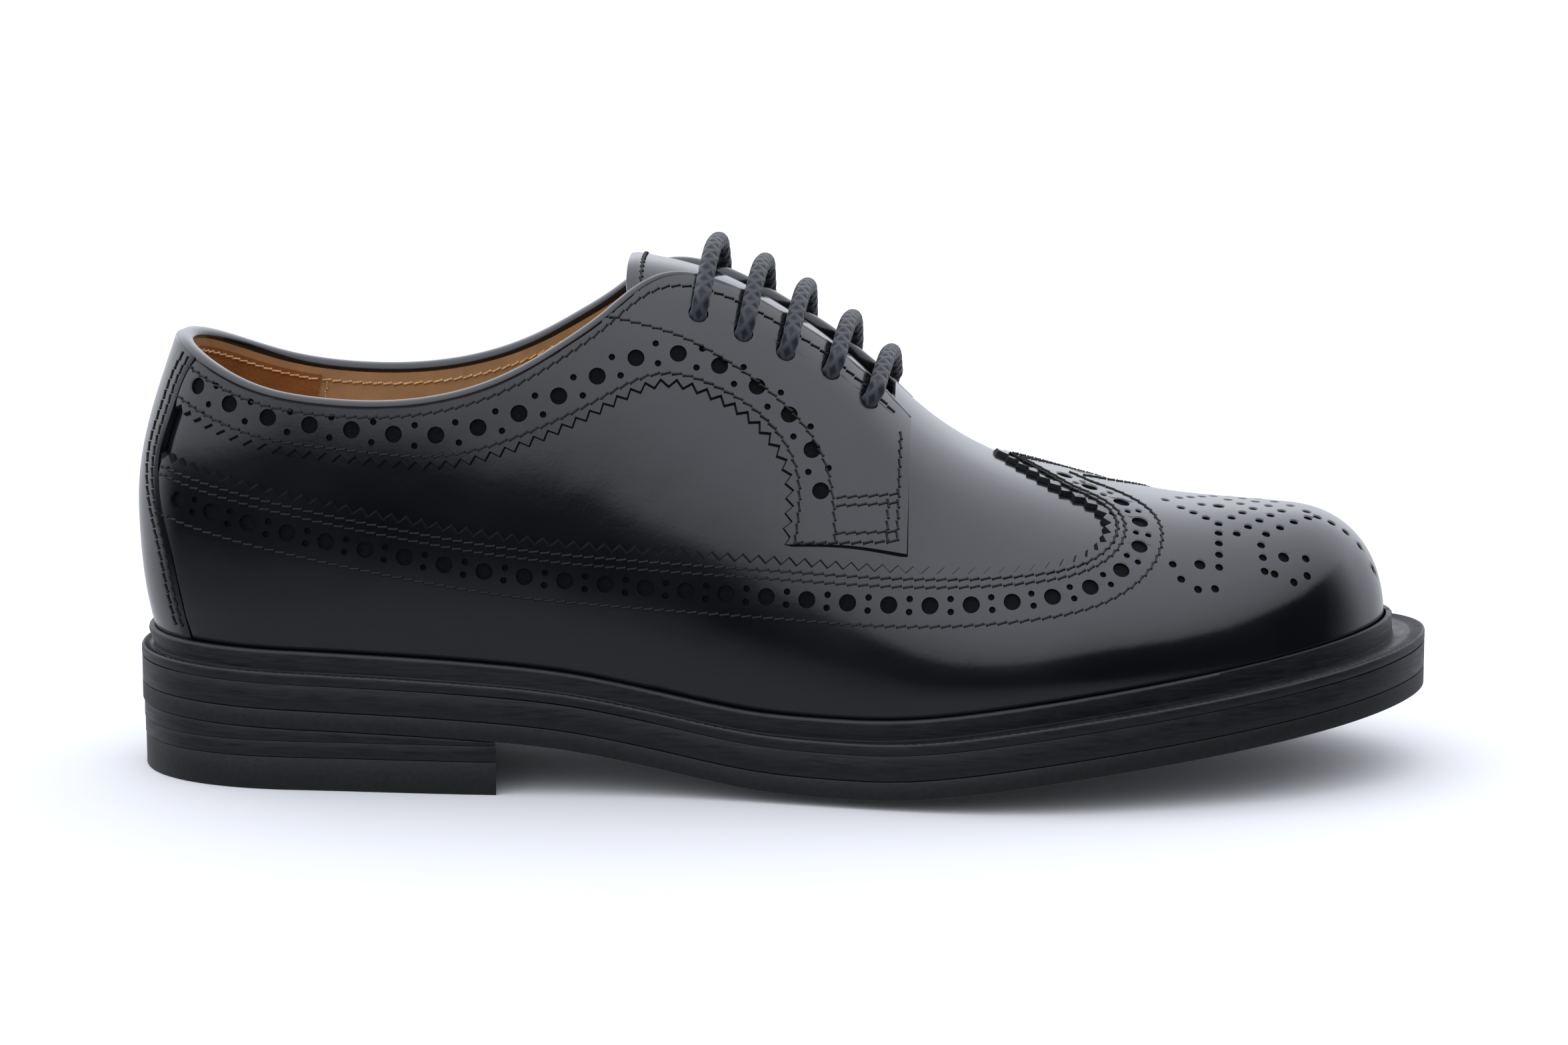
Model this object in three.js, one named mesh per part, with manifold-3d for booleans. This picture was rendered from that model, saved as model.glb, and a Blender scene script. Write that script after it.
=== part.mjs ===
// Long-wing brogue derby, right shoe. Millimetres, +X to the toe, +Y to the inner side, +Z up.
// The origin is on the floor under the middle of the sole's box.
import * as THREE from 'three';
import { mergeVertices } from 'three/addons/utils/BufferGeometryUtils.js';
import Module from 'manifold-3d';

const wasm = await Module();
wasm.setup();

// Driving sizes of the shoe
const LENGTH = 300;         // sole, heel to toe
const BALL_WIDTH = 109;     // sole across the ball
const INSTEP_HEIGHT = 118;  // floor to the last's ridge under the top eyelets
const BACK_HEIGHT = 102;    // floor to the topline at the back seam
const HEEL_RISE = 15.8;     // floor to the outsole's edge at the back
const TOE_RISE = 18.4;      // how far the outsole turns up at the toe
const HEEL_LENGTH = 86;     // back of the heel to the corners of its breast
const BREAST_HOLLOW = 7;    // how far the breast curves in between its corners

// Thicknesses and clearances
const GAP = 0.3;            // between pieces that meet
const WALL = 2.2;           // upper leather with its lining
const OVERLAY = 1.2;        // wing, facing and back stay leather
const WELT = 2.5;
const MIDSOLE = 5.5;
const OUTSOLE = 4.3;        // at its edge
const CROWN = 2.4;          // how far the forepart's middle stands below its edge
const TOP_PIECE = 7.7;      // the heel's floor piece
const INSOLE = 3;
const TONGUE = 2.6;

// Widths, insets and small features
const INSET_HEEL = 6.2;     // feather line in from the sole's end at the heel
const INSET_SIDE = 7;       // and at the sides
const INSET_TOE = 11;       // and at the toe
const HEEL_ROUND = 40;      // length of the rounded back end
const TOE_ROUND = 92;       // length of the rounded toe end
const TOE_DROP = 22;        // length over which the toe's top falls to the welt
const RIB_HEIGHT = 5;       // storm rib over the welt's flat
const RIB_WIDTH = 1.5;
const WELT_TUCK = 8;        // how far the welt runs in under the upper
const HEEL_STEP = 0.5;      // heel stack in from the outsole's edge
const TOP_STEP = 1.2;       // overlays stop this far below the topline and above the feather line
const EYELET_BORE = 4.6;    // punched hole
const LACE = 3.4;           // lace diameter
const LACE_LEAD = 4;        // how far the inner eyelets lie ahead of the outer ones
const LACE_DROP = 1.8;      // and how far below them

// Places along the shoe, as shares of its length
const THROAT = 0.601;       // front end of the opening
const TONGUE_TOP = 0.385;
const TONGUE_FOOT = 0.635;
const TONGUE_HALF = 27;     // half width of the tongue, along the last

// Natural cubic spline through the points of two lists
function spline(xs, ys) {
  const n = xs.length;
  const curve = new Array(n).fill(0);
  const c = new Array(n).fill(0);
  for (let i = 1; i < n - 1; i++) {
    const a = xs[i] - xs[i - 1];
    const b = xs[i + 1] - xs[i];
    const slope = 6 * ((ys[i + 1] - ys[i]) / b - (ys[i] - ys[i - 1]) / a);
    const pivot = 2 * (a + b) - a * c[i - 1];
    c[i] = b / pivot;
    curve[i] = (slope - a * curve[i - 1]) / pivot;
  }
  for (let i = n - 2; i > 0; i--) curve[i] -= c[i] * curve[i + 1];
  return x => {
    let i = 0;
    while (i < n - 2 && x > xs[i + 1]) i++;
    const h = xs[i + 1] - xs[i];
    const t = x - xs[i];
    const rise = (ys[i + 1] - ys[i]) / h - h * (2 * curve[i] + curve[i + 1]) / 6;
    return ys[i] + t * rise + t * t * curve[i] / 2 + t ** 3 * (curve[i + 1] - curve[i]) / (6 * h);
  };
}

// A table of sections: the first column is the place, each other column becomes a curve by name
function sections(columns, rows) {
  const names = columns.split(' ');
  const place = rows.map(row => row[0]);
  const curves = { first: place[0], last: place[place.length - 1] };
  names.forEach((name, j) => { if (j > 0) curves[name] = spline(place, rows.map(row => row[j])); });
  return curves;
}

// Sole outline: half width and centre as shares of the ball width
const plan = sections('place half centre', [
  [0.00, 0.303, -0.022], [0.13, 0.312, -0.022], [0.28, 0.334, -0.030], [0.40, 0.325, -0.049],
  [0.50, 0.368, -0.053], [0.60, 0.450, -0.032], [0.68, 0.497, -0.006], [0.78, 0.502, 0.022],
  [0.90, 0.502, 0.043], [1.00, 0.502, 0.052],
]);
// Underside of the outsole at its edge: shares of the heel rise, the crown and the toe rise
const under = sections('place heel crown toe', [
  [0.00, 1.00, 0.00, 0.00], [0.14, 0.905, 0.00, 0.00], [0.285, 0.79, 0.00, 0.00], [0.34, 0.665, 0.10, 0.00],
  [0.395, 0.435, 0.38, 0.00], [0.44, 0.215, 0.72, 0.00], [0.487, 0.045, 0.94, 0.00], [0.53, 0.00, 0.96, 0.00],
  [0.59, 0.00, 0.96, 0.01], [0.636, 0.00, 1.00, 0.085], [0.683, 0.00, 1.00, 0.20], [0.73, 0.00, 1.00, 0.31],
  [0.779, 0.00, 0.97, 0.415], [0.827, 0.00, 0.85, 0.53], [0.892, 0.00, 0.62, 0.70], [0.94, 0.00, 0.45, 0.83],
  [1.00, 0.00, 0.30, 1.00],
]);
// Inset of the feather line, as shares of its inset at the sides
const inset = sections('place outer inner', [
  [0.00, 0.86, 0.86], [0.25, 0.80, 0.84], [0.42, 0.78, 0.84], [0.62, 1.10, 1.00], [0.80, 1.30, 1.30],
  [1.00, 1.57, 1.57],
]);
// Ridge of the last: height as a share of the instep, and sideways as a share of the ball width
const ridge = sections('place height side', [
  [0.00, 1.150, -0.014], [0.15, 1.130, -0.014], [0.30, 1.082, -0.004], [0.40, 1.030, 0.009],
  [0.45, 0.998, 0.016], [0.50, 0.932, 0.023], [0.56, 0.820, 0.031], [0.605, 0.711, 0.036],
  [0.65, 0.632, 0.041], [0.70, 0.580, 0.047], [0.75, 0.545, 0.051], [0.80, 0.519, 0.055],
  [0.85, 0.507, 0.058], [0.90, 0.498, 0.060], [1.00, 0.473, 0.060],
]);
// Section shape: fullness is a superellipse's power, the bulges are shares of the half width
const fullness = sections('place power outer inner', [
  [0.00, 3.6, 0.06, 0.06], [0.12, 3.6, 0.09, 0.09], [0.28, 3.4, 0.10, 0.16], [0.40, 2.8, 0.10, 0.33],
  [0.50, 2.35, 0.08, 0.29], [0.62, 2.2, 0.06, 0.12], [0.75, 2.25, 0.05, 0.05], [1.00, 2.3, 0.00, 0.00],
]);
// Back seam: how far it leans forward, as shares of the back height, by height over the welt
const backSeam = sections('height lean', [
  [0.00, 0.000], [0.13, -0.028], [0.25, -0.039], [0.37, -0.039], [0.50, -0.016], [0.62, 0.022],
  [0.75, 0.069], [1.20, 0.255],
]);
// Topline and facing edge: height as a share of the back height, up to the throat
const topline = sections('place height', [
  [0.018, 1.000], [0.04, 0.972], [0.10, 0.908], [0.155, 0.883], [0.212, 0.882], [0.247, 0.896],
  [0.281, 0.924], [0.315, 0.970], [0.339, 1.012], [0.370, 1.074], [0.391, 1.122], [0.409, 1.146],
  [0.427, 1.148], [0.444, 1.137], [0.469, 1.107], [0.494, 1.066], [0.519, 1.020], [0.537, 0.984],
  [0.556, 0.938], [0.572, 0.898], [0.588, 0.850], [THROAT, 0.812],
]);

const BACK = -LENGTH / 2;
const FRONT = LENGTH / 2;
const FEATHER_BACK = BACK + INSET_HEEL;
const FEATHER_FRONT = FRONT - INSET_TOE;
const LIFT = GAP + OVERLAY;                          // outer face of the overlays over the upper
const FACET_SAG = 0.45;                              // how far a curved face's flat facets fall short of it
const STACK = WELT + GAP + MIDSOLE + GAP + OUTSOLE;  // welt top over the outsole's edge

const share = x => (x - BACK) / LENGTH;
const clamp01 = t => Math.min(Math.max(t, 0), 1);
// Rounded end of an outline: 0 at the end, 1 where the rounding stops
const roundEnd = (t, power) => (1 - clamp01(1 - t) ** power) ** (1 / power);
const HEEL_POWER = 2.2;
const TOE_POWER = 2;
const DROP_POWER = 2.6;

// The two sides' widest points decide where the middle of the sole's box lies
function outlineSide(x, side) {
  const s = share(x);
  const end = roundEnd((x - BACK) / HEEL_ROUND, HEEL_POWER) * roundEnd((FRONT - x) / TOE_ROUND, TOE_POWER);
  return BALL_WIDTH * (plan.centre(s) + side * plan.half(s) * end);
}
const PROBE_STEPS = 600;       // stations tried for the widest points
const PROBES = Array.from({ length: PROBE_STEPS + 1 }, (_, i) => BACK + LENGTH * i / PROBE_STEPS);
const OUTER_MOST = Math.min(...PROBES.map(x => outlineSide(x, -1)));
const INNER_MOST = Math.max(...PROBES.map(x => outlineSide(x, 1)));
const MIDDLE = (OUTER_MOST + INNER_MOST) / 2;
const WIDTH_FIT = BALL_WIDTH / (INNER_MOST - OUTER_MOST);

const soleY = (x, side) => (outlineSide(x, side) - MIDDLE) * WIDTH_FIT;
const soleCentre = x => (BALL_WIDTH * plan.centre(share(x)) - MIDDLE) * WIDTH_FIT;

function featherY(x, side) {
  const s = share(x);
  const half = BALL_WIDTH * WIDTH_FIT * plan.half(s);
  const tuck = INSET_SIDE * (side < 0 ? inset.outer(s) : inset.inner(s));
  const heel = roundEnd((x - FEATHER_BACK) / (HEEL_ROUND - INSET_HEEL), HEEL_POWER);
  const toe = roundEnd((FEATHER_FRONT - x) / (TOE_ROUND - INSET_TOE), TOE_POWER);
  return soleCentre(x) + side * (half - tuck) * heel * toe;
}

// Heights of the sole's layers
function edgeUnder(x) {
  const s = share(x);
  return HEEL_RISE * under.heel(s) + CROWN * under.crown(s) + TOE_RISE * under.toe(s);
}
const weltTop = x => edgeUnder(x) + STACK;
const CROWN_POWER = 4;
const CROWN_MARGIN = 1.09;   // presses the crown's middle flat on the floor
function outsoleBottom(x, y) {
  const half = Math.max((soleY(x, 1) - soleY(x, -1)) / 2, 1);
  const out = Math.min(Math.abs(y - soleCentre(x)) / half, 1);
  const crown = CROWN * CROWN_MARGIN * Math.max(under.crown(share(x)), 0) * (1 - out ** CROWN_POWER);
  return Math.max(edgeUnder(x) - crown, 0);
}

// The last: u runs from the back seam (0) to the toe (1), h from the feather line (0) to the ridge (1)
const stationX = u => FEATHER_BACK + (FEATHER_FRONT - FEATHER_BACK) * (0.5 - 0.5 * Math.cos(Math.PI * clamp01(u)));
const stationU = x => Math.acos(1 - 2 * clamp01((x - FEATHER_BACK) / (FEATHER_FRONT - FEATHER_BACK))) / Math.PI;
const featherZ = x => weltTop(x) + GAP;

function ridgeZ(x) {
  const foot = featherZ(x);
  const drop = roundEnd((FEATHER_FRONT - x) / TOE_DROP, DROP_POWER);
  return foot + (INSTEP_HEIGHT * ridge.height(share(x)) - foot) * drop;
}

const LEAN_REACH = 75;      // how far forward the back seam's lean is felt
const BULGE_PEAK = 6.75;    // makes k (1 - k)^2 reach 1 at its highest
function lastPoint(side, u, h) {
  const x = stationX(u);
  const s = share(x);
  const power = fullness.power(s);
  const rise = Math.sin(h * Math.PI / 2) ** (2 / power);
  const out = Math.max(Math.cos(h * Math.PI / 2), 0) ** (2 / power);
  const bulge = 1 + (side < 0 ? fullness.outer(s) : fullness.inner(s)) * BULGE_PEAK * rise * (1 - rise) ** 2;
  const foot = featherZ(x);
  const z = foot + (ridgeZ(x) - foot) * rise;
  const top = (BALL_WIDTH * ridge.side(s) - MIDDLE) * WIDTH_FIT;
  const t = clamp01(1 - (x - FEATHER_BACK) / LEAN_REACH);
  const lean = BACK_HEIGHT * backSeam.lean((z - foot) / BACK_HEIGHT) * t * t * (3 - 2 * t);
  const end = (featherY(x, 1) - featherY(x, -1)) < 1e-6 ? 0 : 1;
  const foot_y = featherY(x, side);
  const ridge_y = end ? top + (soleCentre(x) - top) * (1 - roundEnd((x - FEATHER_BACK) / LEAN_REACH, 2)) : foot_y;
  return new THREE.Vector3(x + lean, ridge_y + (foot_y - ridge_y) * out * bulge, z);
}

// A point of the last moved outwards along its normal
const STEP = 1e-4;
function skin(side, u, h, offset) {
  const p = lastPoint(side, u, h);
  const along = lastPoint(side, Math.min(u + STEP, 1), h).sub(lastPoint(side, Math.max(u - STEP, 0), h));
  const up = lastPoint(side, u, Math.min(h + STEP, 1)).sub(lastPoint(side, u, Math.max(h - STEP, 0)));
  if (u < 2 * STEP) along.set(0, side, 0);
  if (h > 1 - 2 * STEP) up.set(0, -side, 0);
  const normal = u > 1 - 2 * STEP ? new THREE.Vector3(1, 0, 0) : along.cross(up).multiplyScalar(-side).normalize();
  return p.addScaledVector(normal, offset);
}

// Height share h at which the last reaches a height z
function hAtZ(x, z) {
  const foot = featherZ(x);
  const rise = clamp01((z - foot) / Math.max(ridgeZ(x) - foot, 1e-6));
  return Math.asin(rise ** (fullness.power(share(x)) / 2)) * 2 / Math.PI;
}

// Collects four-sided faces and makes one closed solid of them
class Faces {
  constructor() { this.corners = []; }
  triangle(a, b, c) { this.corners.push(a, b, c); }
  quad(a, b, c, d, turned) {
    if (turned) { this.triangle(a, c, b); this.triangle(a, d, c); } else { this.triangle(a, b, c); this.triangle(a, c, d); }
  }
  sheet(rows, turned) {
    for (let i = 0; i < rows.length - 1; i++) {
      for (let j = 0; j < rows[i].length - 1; j++) {
        this.quad(rows[i][j], rows[i + 1][j], rows[i + 1][j + 1], rows[i][j + 1], turned);
      }
    }
  }
  geometry() {
    const loose = new THREE.BufferGeometry();
    loose.setAttribute('position', new THREE.Float32BufferAttribute(this.corners.flatMap(p => [p.x, p.y, p.z]), 3));
    const merged = mergeVertices(loose, 1e-3);
    const index = merged.getIndex().array;
    const kept = [];
    for (let i = 0; i < index.length; i += 3) {
      const [a, b, c] = [index[i], index[i + 1], index[i + 2]];
      if (a !== b && b !== c && c !== a) kept.push(a, b, c);
    }
    merged.setIndex(kept);
    return facingOut(merged);
  }
}

function facingOut(geometry) {
  const p = geometry.getAttribute('position');
  const index = geometry.getIndex().array;
  const corner = i => new THREE.Vector3().fromBufferAttribute(p, index[i]);
  let volume = 0;
  for (let i = 0; i < index.length; i += 3) volume += corner(i).dot(corner(i + 1).cross(corner(i + 2)));
  if (volume < 0) {
    for (let i = 0; i < index.length; i += 3) [index[i], index[i + 1]] = [index[i + 1], index[i]];
  }
  geometry.computeVertexNormals();
  return geometry;
}

// A leather sheet on the last: domain(side, i, j) gives [u, h], the rows run to the edge or over the ridge
function leather(nu, nh, domain, outer, inner, closed) {
  const faces = new Faces();
  for (const side of [-1, 1]) {
    if (closed.only && closed.only !== side) continue;
    const at = (offset, t, v) => {
      const [u, h] = domain(side, t, v);
      const p = skin(side, u, h, offset);
      if (u > 1 - STEP) p.z += closed.toeRise || 0;
      return p;
    };
    const layer = offset => Array.from({ length: nu + 1 }, (_, i) =>
      Array.from({ length: nh + 1 }, (_, j) => at(offset, i / nu, j / nh)));
    const out = layer(outer);
    const inn = layer(inner);
    const turned = side > 0;
    faces.sheet(out, turned);
    faces.sheet(inn, !turned);
    for (let i = 0; i < nu; i++) {
      faces.quad(out[i][0], inn[i][0], inn[i + 1][0], out[i + 1][0], turned);
      if (i < Math.round(closed.ridgeFrom * nu)) {
        faces.quad(out[i][nh], out[i + 1][nh], inn[i + 1][nh], inn[i][nh], turned);
      }
    }
    for (let j = 0; j < nh; j++) {
      if (closed.back) faces.quad(out[0][j], out[0][j + 1], inn[0][j + 1], inn[0][j], turned);
      if (closed.front) faces.quad(out[nu][j], inn[nu][j], inn[nu][j + 1], out[nu][j + 1], turned);
    }
  }
  return faces.geometry();
}

// A slab with its own outline, top and bottom: u along it, v across it from -1 to 1
function slab(nu, across, place, top, bottom) {
  const faces = new Faces();
  const layer = height => Array.from({ length: nu + 1 }, (_, i) => across.map(v => {
    const [x, y] = place(i / nu, v);
    return new THREE.Vector3(x, y, height(x, y));
  }));
  const upper = layer(top);
  const lower = layer(bottom);
  const last = across.length - 1;
  faces.sheet(upper, false);
  faces.sheet(lower, true);
  for (let i = 0; i < nu; i++) {
    faces.quad(upper[i][0], lower[i][0], lower[i + 1][0], upper[i + 1][0], false);
    faces.quad(upper[i][last], upper[i + 1][last], lower[i + 1][last], lower[i][last], false);
  }
  for (let j = 0; j < last; j++) {
    faces.quad(upper[0][j], upper[0][j + 1], lower[0][j + 1], lower[0][j], false);
    faces.quad(upper[nu][j], lower[nu][j], lower[nu][j + 1], upper[nu][j + 1], false);
  }
  return faces.geometry();
}

const SOLE_STATIONS = 34;
const HEEL_STATIONS = 12;
const ACROSS = [-1, -0.8, -0.45, 0.45, 0.8, 1];
const FLAT_ACROSS = [-1, 0, 1];

// Place on the sole's outline drawn in by a step, for the whole sole and for the heel
function wholePlace(step) {
  return (u, v) => {
    const x = (FRONT - step) * -Math.cos(Math.PI * u);
    const y = soleY(x, v < 0 ? -1 : 1);
    const half = Math.abs(y - soleCentre(x));
    return [x, soleCentre(x) + v * half * (1 - step / (BALL_WIDTH / 2))];
  };
}
function heelPlace(step) {
  return (u, v) => {
    const back = BACK + step;
    const breast = BACK + HEEL_LENGTH - BREAST_HOLLOW * (1 - v * v);
    const x = back + (breast - back) * (1 - Math.cos(Math.PI / 2 * u));
    const rim = BACK + (x - back) * (HEEL_LENGTH / (HEEL_LENGTH - step));
    const half = Math.abs(soleY(rim, v < 0 ? -1 : 1) - soleCentre(rim)) * (1 - step / (BALL_WIDTH / 3));
    return [x, soleCentre(rim) + v * half];
  };
}

const outsoleTop = x => weltTop(x) - WELT - GAP - MIDSOLE - GAP;
const makeOutsole = () => slab(SOLE_STATIONS, ACROSS, wholePlace(0), outsoleTop, outsoleBottom);
const makeMidsole = () => slab(SOLE_STATIONS, FLAT_ACROSS, wholePlace(HEEL_STEP),
  x => weltTop(x) - WELT - GAP, x => weltTop(x) - WELT - GAP - MIDSOLE);
const HEEL_ACROSS = [-1, -0.8, -0.5, 0, 0.5, 0.8, 1];
const makeHeelLifts = () => slab(HEEL_STATIONS, HEEL_ACROSS, heelPlace(HEEL_STEP),
  x => edgeUnder(x) - GAP, () => TOP_PIECE + GAP);
const makeTopPiece = () => slab(HEEL_STATIONS, HEEL_ACROSS, heelPlace(HEEL_STEP * 2), () => TOP_PIECE, () => 0);

// The storm welt: a flat ring with its rib standing against the upper all the way round
const WELT_STATIONS = 34;
function makeWelt() {
  const faces = new Faces();
  const rest = LIFT + GAP + FACET_SAG;
  for (const side of [-1, 1]) {
    const rows = Array.from({ length: WELT_STATIONS + 1 }, (_, i) => {
      const u = i / WELT_STATIONS;
      const x = FRONT * -Math.cos(Math.PI * u);
      const rim = new THREE.Vector3(x, soleY(x, side), weltTop(x));
      const station = stationX(u);
      const ribH = hAtZ(station, featherZ(station) + RIB_HEIGHT);
      const flat = offset => {
        const p = skin(side, u, 0, offset);
        return p.setZ(weltTop(p.x));
      };
      const ribOuter = skin(side, u, ribH, rest + RIB_WIDTH);
      const ribInner = skin(side, u, ribH, rest);
      if (u === 1) {
        ribOuter.z += RIB_HEIGHT;
        ribInner.z += RIB_HEIGHT;
      }
      const tuck = flat(-WELT_TUCK);
      const down = p => p.clone().setZ(p.z - WELT);
      return [rim, flat(rest + RIB_WIDTH), ribOuter, ribInner, flat(rest), tuck, down(tuck), down(rim), rim];
    });
    faces.sheet(rows, side > 0);
  }
  return faces.geometry();
}

// The insole closes the upper underneath, just inside its wall
const INSOLE_CLEAR = WALL + 2 * GAP;
function makeInsole() {
  const place = (u, v) => {
    const p = skin(v < 0 ? -1 : 1, u, 0, -INSOLE_CLEAR);
    const q = skin(v < 0 ? 1 : -1, u, 0, -INSOLE_CLEAR);
    return v === 0 ? [(p.x + q.x) / 2, (p.y + q.y) / 2] : [p.x, p.y];
  };
  return slab(SOLE_STATIONS, FLAT_ACROSS, place, x => featherZ(x) + INSOLE, x => featherZ(x));
}

// The upper's body: one hollow shell, open underneath and at the collar and throat
const UPPER_STATIONS = 38;
const UPPER_ROWS = 8;
const throatX = BACK + THROAT * LENGTH;
const throatIndex = Math.round(stationU(throatX) * UPPER_STATIONS);
function upperStation(t) {
  const cut = throatIndex / UPPER_STATIONS;
  const throat = stationU(throatX);
  return t <= cut ? throat * t / cut : throat + (1 - throat) * (t - cut) / (1 - cut);
}
function topH(u) {
  const x = stationX(u);
  return hAtZ(x, BACK_HEIGHT * topline.height(Math.max(share(x), topline.first)));
}
// Domain of the shell, its open edge moved up the last by a share of h
const shellDomain = past => (side, t, v) => {
  const u = upperStation(t);
  return [u, t < (throatIndex - 0.5) / UPPER_STATIONS ? Math.min(topH(u) + past, 1) * v : v];
};

// Outlines of the pieces laid on the upper, as place along the shoe and height as a share of the back height
const wingRows = sections('t edge_place edge_height foot_place foot_rise', [
  [0.00, 0.0300, 0.740, 0.0300, 0], [0.08, 0.135, 0.666, 0.135, 0], [0.16, 0.216, 0.618, 0.216, 0],
  [0.25, 0.316, 0.575, 0.316, 0], [0.34, 0.430, 0.549, 0.440, 0], [0.42, 0.507, 0.537, 0.560, 0],
  [0.50, 0.585, 0.522, 0.690, 0], [0.57, 0.642, 0.514, 0.800, 0], [0.63, 0.690, 0.516, 0.880, 0],
  [0.68, 0.722, 0.527, 0.925, 0], [0.73, 0.743, 0.552, 0.950, 0], [0.78, 0.749, 0.584, 0.960, 0],
  [0.83, 0.740, 0.612, 0.9633, 0.12], [0.89, 0.716, 0.641, 0.9633, 0.40], [0.95, 0.690, 0.670, 0.9633, 0.72],
  [1.00, 0.664, 0.700, 0.9633, 1],
]);
const facingRows = sections('t low_place low_height top_place', [
  [0.00, 0.0300, 0.862, 0.0300], [0.10, 0.105, 0.782, 0.105], [0.20, 0.180, 0.752, 0.175],
  [0.30, 0.250, 0.745, 0.240], [0.40, 0.317, 0.800, 0.300], [0.50, 0.372, 0.875, 0.355],
  [0.58, 0.412, 0.920, 0.410], [0.66, 0.452, 0.890, 0.455], [0.74, 0.484, 0.830, 0.505],
  [0.82, 0.504, 0.755, 0.550], [0.90, 0.510, 0.680, 0.588], [1.00, 0.507, 0.575, 0.5967],
]);
const FACING_FRONT = 0.5967;   // front edge of the facing and its tab
const FACING_TURN = 0.90;      // where the outline leaves the topline and runs down the front edge
const TAB_FOOT = 0.552;        // lower end of the front edge, as a share of the back height

// Lowest and highest h of a piece laid on the upper
const footH = u => hAtZ(stationX(u), featherZ(stationX(u)) + TOP_STEP);
function topEdgeH(u) {
  const x = stationX(u);
  return hAtZ(x, BACK_HEIGHT * topline.height(Math.max(share(x), topline.first)) - TOP_STEP);
}
const blend = (a, b, v) => [a[0] + (b[0] - a[0]) * v, a[1] + (b[1] - a[1]) * v];
const stationAt = place => BACK + LENGTH * place;

const ROW_CLUSTER = 1.35;      // draws the wing's rows together towards the welt
const PEAK_TURN = 0.89;        // from here on the wing's edge runs straight to its peak on the ridge
function wingEdge(t) {
  if (t > PEAK_TURN) {
    const peak = [stationU(stationAt(wingRows.edge_place(1))), 1];
    return blend(wingEdge(PEAK_TURN), peak, (t - PEAK_TURN) / (1 - PEAK_TURN));
  }
  const x = Math.min(stationAt(wingRows.edge_place(t)), FEATHER_FRONT);
  return [stationU(x), hAtZ(x, BACK_HEIGHT * wingRows.edge_height(t))];
}
function wingDomain(side, t, v) {
  const footX = Math.min(stationAt(wingRows.foot_place(t)), FEATHER_FRONT);
  const footU = t > 1 - 1e-6 ? 1 : stationU(footX);
  const low = footH(footU);
  const foot = [footU, low + (1 - low) * clamp01(wingRows.foot_rise(t))];
  return blend(foot, wingEdge(t), v ** ROW_CLUSTER);
}

function facingDomain(side, t, v) {
  const lowX = stationAt(facingRows.low_place(t));
  const low = [stationU(lowX), hAtZ(lowX, BACK_HEIGHT * facingRows.low_height(t))];
  const topX = stationAt(Math.min(facingRows.top_place(t), FACING_FRONT));
  const u = stationU(topX);
  let h = topEdgeH(u);
  if (t > FACING_TURN) {
    const down = (t - FACING_TURN) / (1 - FACING_TURN);
    const foot = hAtZ(topX, BACK_HEIGHT * TAB_FOOT);
    h += (foot - h) * down;
  }
  return blend(low, [u, h], v);
}

// Back stay: place of its side edge by share of the back seam's height
const stayRows = sections('height place', [
  [0.00, 0.0563], [0.15, 0.0513], [0.30, 0.0430], [0.45, 0.0387], [0.65, 0.0400], [0.85, 0.0410], [1.00, 0.0450],
]);
const ROOM_ENDS = 0.03;        // the room cut for the stay runs past its ends, as a share of its height
const stayDomain = (grown, past) => (side, t, v) => {
  const along = v + past * (2 * v - 1);
  const u = stationU(stationAt(stayRows.place(clamp01(along))) + grown) * t;
  return [u, Math.max(footH(u) + (topEdgeH(u) - footH(u)) * along, 0)];
};

// Tongue: under the facings and the vamp, over the foot
const SIDE_H = 0.3;            // height share at which the form's half width is taken
const TONGUE_MOST = 0.95;      // the tongue takes up no more of that half width than this
function tongueDomain(side, t, v) {
  const x = stationAt(TONGUE_TOP + (TONGUE_FOOT - TONGUE_TOP) * t);
  const u = stationU(x);
  const half = Math.abs(lastPoint(side, u, SIDE_H).y - lastPoint(side, u, 1).y);
  const low = Math.acos(Math.min(TONGUE_HALF / half, TONGUE_MOST) ** (fullness.power(share(x)) / 2)) * 2 / Math.PI;
  return [u, low + (1 - low) * v];
}

// Eyelets, from the top one down: place and height share of the back height
const eyelets = [[0.4377, 1.059], [0.4713, 1.015], [0.503, 0.971], [0.5367, 0.925], [0.5657, 0.860]];
function eyeletFrame(side, row) {
  const inner = side > 0 ? 1 : 0;
  const x = stationAt(row[0]) + LACE_LEAD * inner;
  const u = stationU(x);
  const h = hAtZ(x, BACK_HEIGHT * row[1] - LACE_DROP * inner);
  const foot = skin(side, u, h, 0);
  return { foot, normal: skin(side, u, h, 1).sub(foot), u, h };
}

function solidOf(geometry) {
  const bare = new THREE.BufferGeometry();
  bare.setAttribute('position', geometry.getAttribute('position'));
  if (geometry.getIndex()) bare.setIndex(geometry.getIndex());
  const merged = mergeVertices(bare, 1e-4);
  return new wasm.Manifold(new wasm.Mesh({
    numProp: 3,
    vertProperties: new Float32Array(merged.getAttribute('position').array),
    triVerts: new Uint32Array(merged.getIndex().array),
  }));
}
function geometryOf(solid) {
  const mesh = solid.getMesh();
  const geometry = new THREE.BufferGeometry();
  geometry.setAttribute('position', new THREE.BufferAttribute(new Float32Array(mesh.vertProperties), 3));
  geometry.setIndex(new THREE.BufferAttribute(new Uint32Array(mesh.triVerts), 1));
  geometry.computeVertexNormals();
  return geometry;
}

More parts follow.
